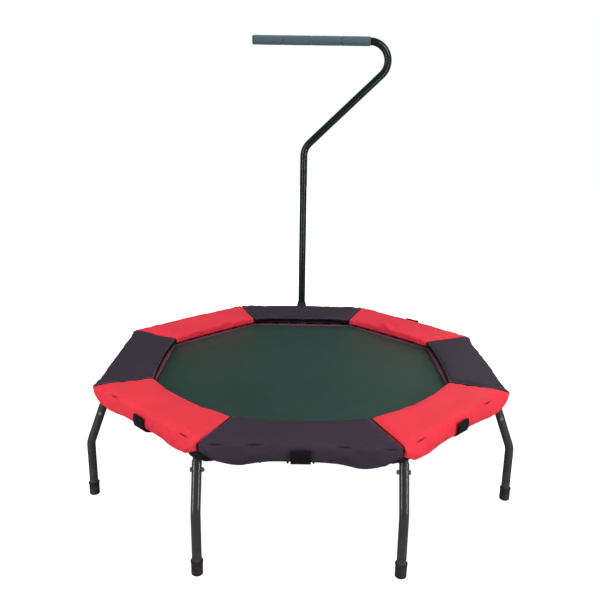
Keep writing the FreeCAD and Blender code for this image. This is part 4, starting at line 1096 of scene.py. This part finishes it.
# %% Cover stitches
def sewn_edges(side):
    """The rows as lines across one pad, given in the rear side's place."""
    inside, outside = INNER_Y + 5 * MM, OUTER_Y - 9 * MM
    def across(y, share):
        return Vector((share * (y * TAN_HALF - 5 * MM), y + bow(side) * (1 - share * share)
                * (1 - smooth_step(INNER_Y, OUTER_Y - SKIRT, y)), 0.4))
    shares = [number / 12 for number in range(-12, 13)]
    yield [across(inside, share) for share in shares]
    if side != "front":
        yield [across(outside, share) for share in shares]
    for share in (-1, 1):
        yield [across(inside, share), across(outside, share)]


def drop_stitches(target, bead, index):
    turn, cover = side_turn(index), pads[index]
    surface = BVHTree.FromObject(cover, bpy.context.evaluated_depsgraph_get())
    for line in sewn_edges(SIDES[index]):
        for start, end in zip(line, line[1:]):
            heading = turn.to_3x3() @ (end - start)
            for place in stitch_points(turn @ start, turn @ end, 7 * MM):
                hit, normal, _, _ = surface.ray_cast(place, -UP)
                if hit:
                    stitch_row(target, bead, [(hit + normal * 0.2 * MM, heading, normal)])


cover_rows = bmesh.new()
short_bead = stitch(4.0 * MM, 0.8 * MM, 0.6 * MM)
for index in range(0, 8, 2):
    drop_stitches(cover_rows, short_bead, index)
cover_stitching = make_piece("cover_stitching", cover_rows, PALE_THREAD, "frame")
print("cover stitches", len(cover_stitching.data.polygons) // len(short_bead.faces))

# %% [markdown]
# ## Corner gussets
# Where the hems rise, between two skirts, a strip of black cloth closes the gap, folded round the corner
# and a little ruffled.

# %% Gussets
WING, GUSSET_TOP, GUSSET_LOW = 44 * MM, 324 * MM, 302 * MM
GUSSET_Y = OUTER_Y - SKIRT + 2.5 * MM


def corner_gusset(index):
    shape = bmesh.new()
    bmesh.ops.create_grid(shape, x_segments=24, y_segments=5, size=1)
    cloth = shape.loops.layers.uv.verify()
    for face in shape.faces:
        for corner in face.loops:
            corner[cloth].uv = (corner.vert.co.x * WING, corner.vert.co.y * (GUSSET_TOP - GUSSET_LOW) / 2)
    for vertex in shape.verts:
        reach, height = vertex.co.x, (vertex.co.y + 1) / 2
        angle = STEP / 2
        out = GUSSET_Y / COS_HALF - WING * abs(reach) * math.sin(angle) - 3 * MM * near(reach, 0, 0.12)
        out += 0.9 * MM * math.sin(reach * 17 + index) * (1 - height)
        side = WING * reach * math.cos(angle)
        level = GUSSET_LOW + (GUSSET_TOP - GUSSET_LOW) * height
        level += 1.2 * MM * math.sin(reach * 7 + index * 2) * (1 - height)
        vertex.co = (side, out, level)
    shape.transform(corner_turn(index))
    piece = make_piece(f"corner_gusset_{index + 1}", shape, BLACK_CLOTH, "frame")
    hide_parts("corner_gussets")
    thicken(piece, 0.9 * MM)
    return piece


gussets = [corner_gusset(index) for index in range(8)]
print("gussets", len(gussets))

# %% [markdown]
# ## Foam grip
# Four foam sleeves on the level tube. One is a profile with rounded ends, spun about the tube, and noise
# dents the copies.

# %% Grip
GRIP_LOW, GRIP_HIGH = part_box("foam_grip")
GRIP_AXIS = Vector((0, (GRIP_LOW.y + GRIP_HIGH.y) / 2, (GRIP_LOW.z + GRIP_HIGH.z) / 2))
FOAM_R, TUBE_R, SLEEVES, SLEEVE_GAP = (GRIP_HIGH.z - GRIP_LOW.z) / 2, 14 * MM, 4, 0.6 * MM
SLEEVE = (GRIP_HIGH.x - GRIP_LOW.x - (SLEEVES - 1) * SLEEVE_GAP) / SLEEVES


def sleeve(start, seed):
    shape = bmesh.new()
    corners = [shape.verts.new((start + x, GRIP_AXIS.y, GRIP_AXIS.z + r)) for x, r in
            ((0, TUBE_R + 0.1 * MM), (0, FOAM_R), (SLEEVE, FOAM_R), (SLEEVE, TUBE_R + 0.1 * MM))]
    shape.faces.new(corners)
    bevel(shape, corners[1:3], 2.4 * MM, 4)
    top = max(shape.edges, key=lambda edge: edge.calc_length() * (edge.verts[0].co.z + edge.verts[1].co.z))
    bmesh.ops.subdivide_edges(shape, edges=[top], cuts=14)
    bmesh.ops.delete(shape, geom=list(shape.faces), context="FACES_ONLY")
    bmesh.ops.spin(shape, geom=[*shape.verts, *shape.edges], cent=GRIP_AXIS, axis=(1, 0, 0),
            angle=2 * math.pi, steps=40, use_merge=True)
    for vertex in shape.verts:
        out = Vector((0, vertex.co.y - GRIP_AXIS.y, vertex.co.z - GRIP_AXIS.z))
        if out.length > TUBE_R + 1 * MM:
            dent = 0.45 * MM * noise.noise(Vector((vertex.co.x * 28, out.y * 60, out.z * 60 + seed * 3)))
            vertex.co += out.normalized() * dent
    return shape


sleeves = bmesh.new()
for number in range(SLEEVES):
    one = sleeve(GRIP_LOW.x + number * (SLEEVE + SLEEVE_GAP), number)
    merge_turned(sleeves, one, Matrix.Identity(4))
    one.free()
grip = make_piece("foam_grip_sleeves", sleeves, GRIP_FOAM, "mast")
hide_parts("foam_grip")
print("sleeve length", round(SLEEVE / MM, 1), "mm")
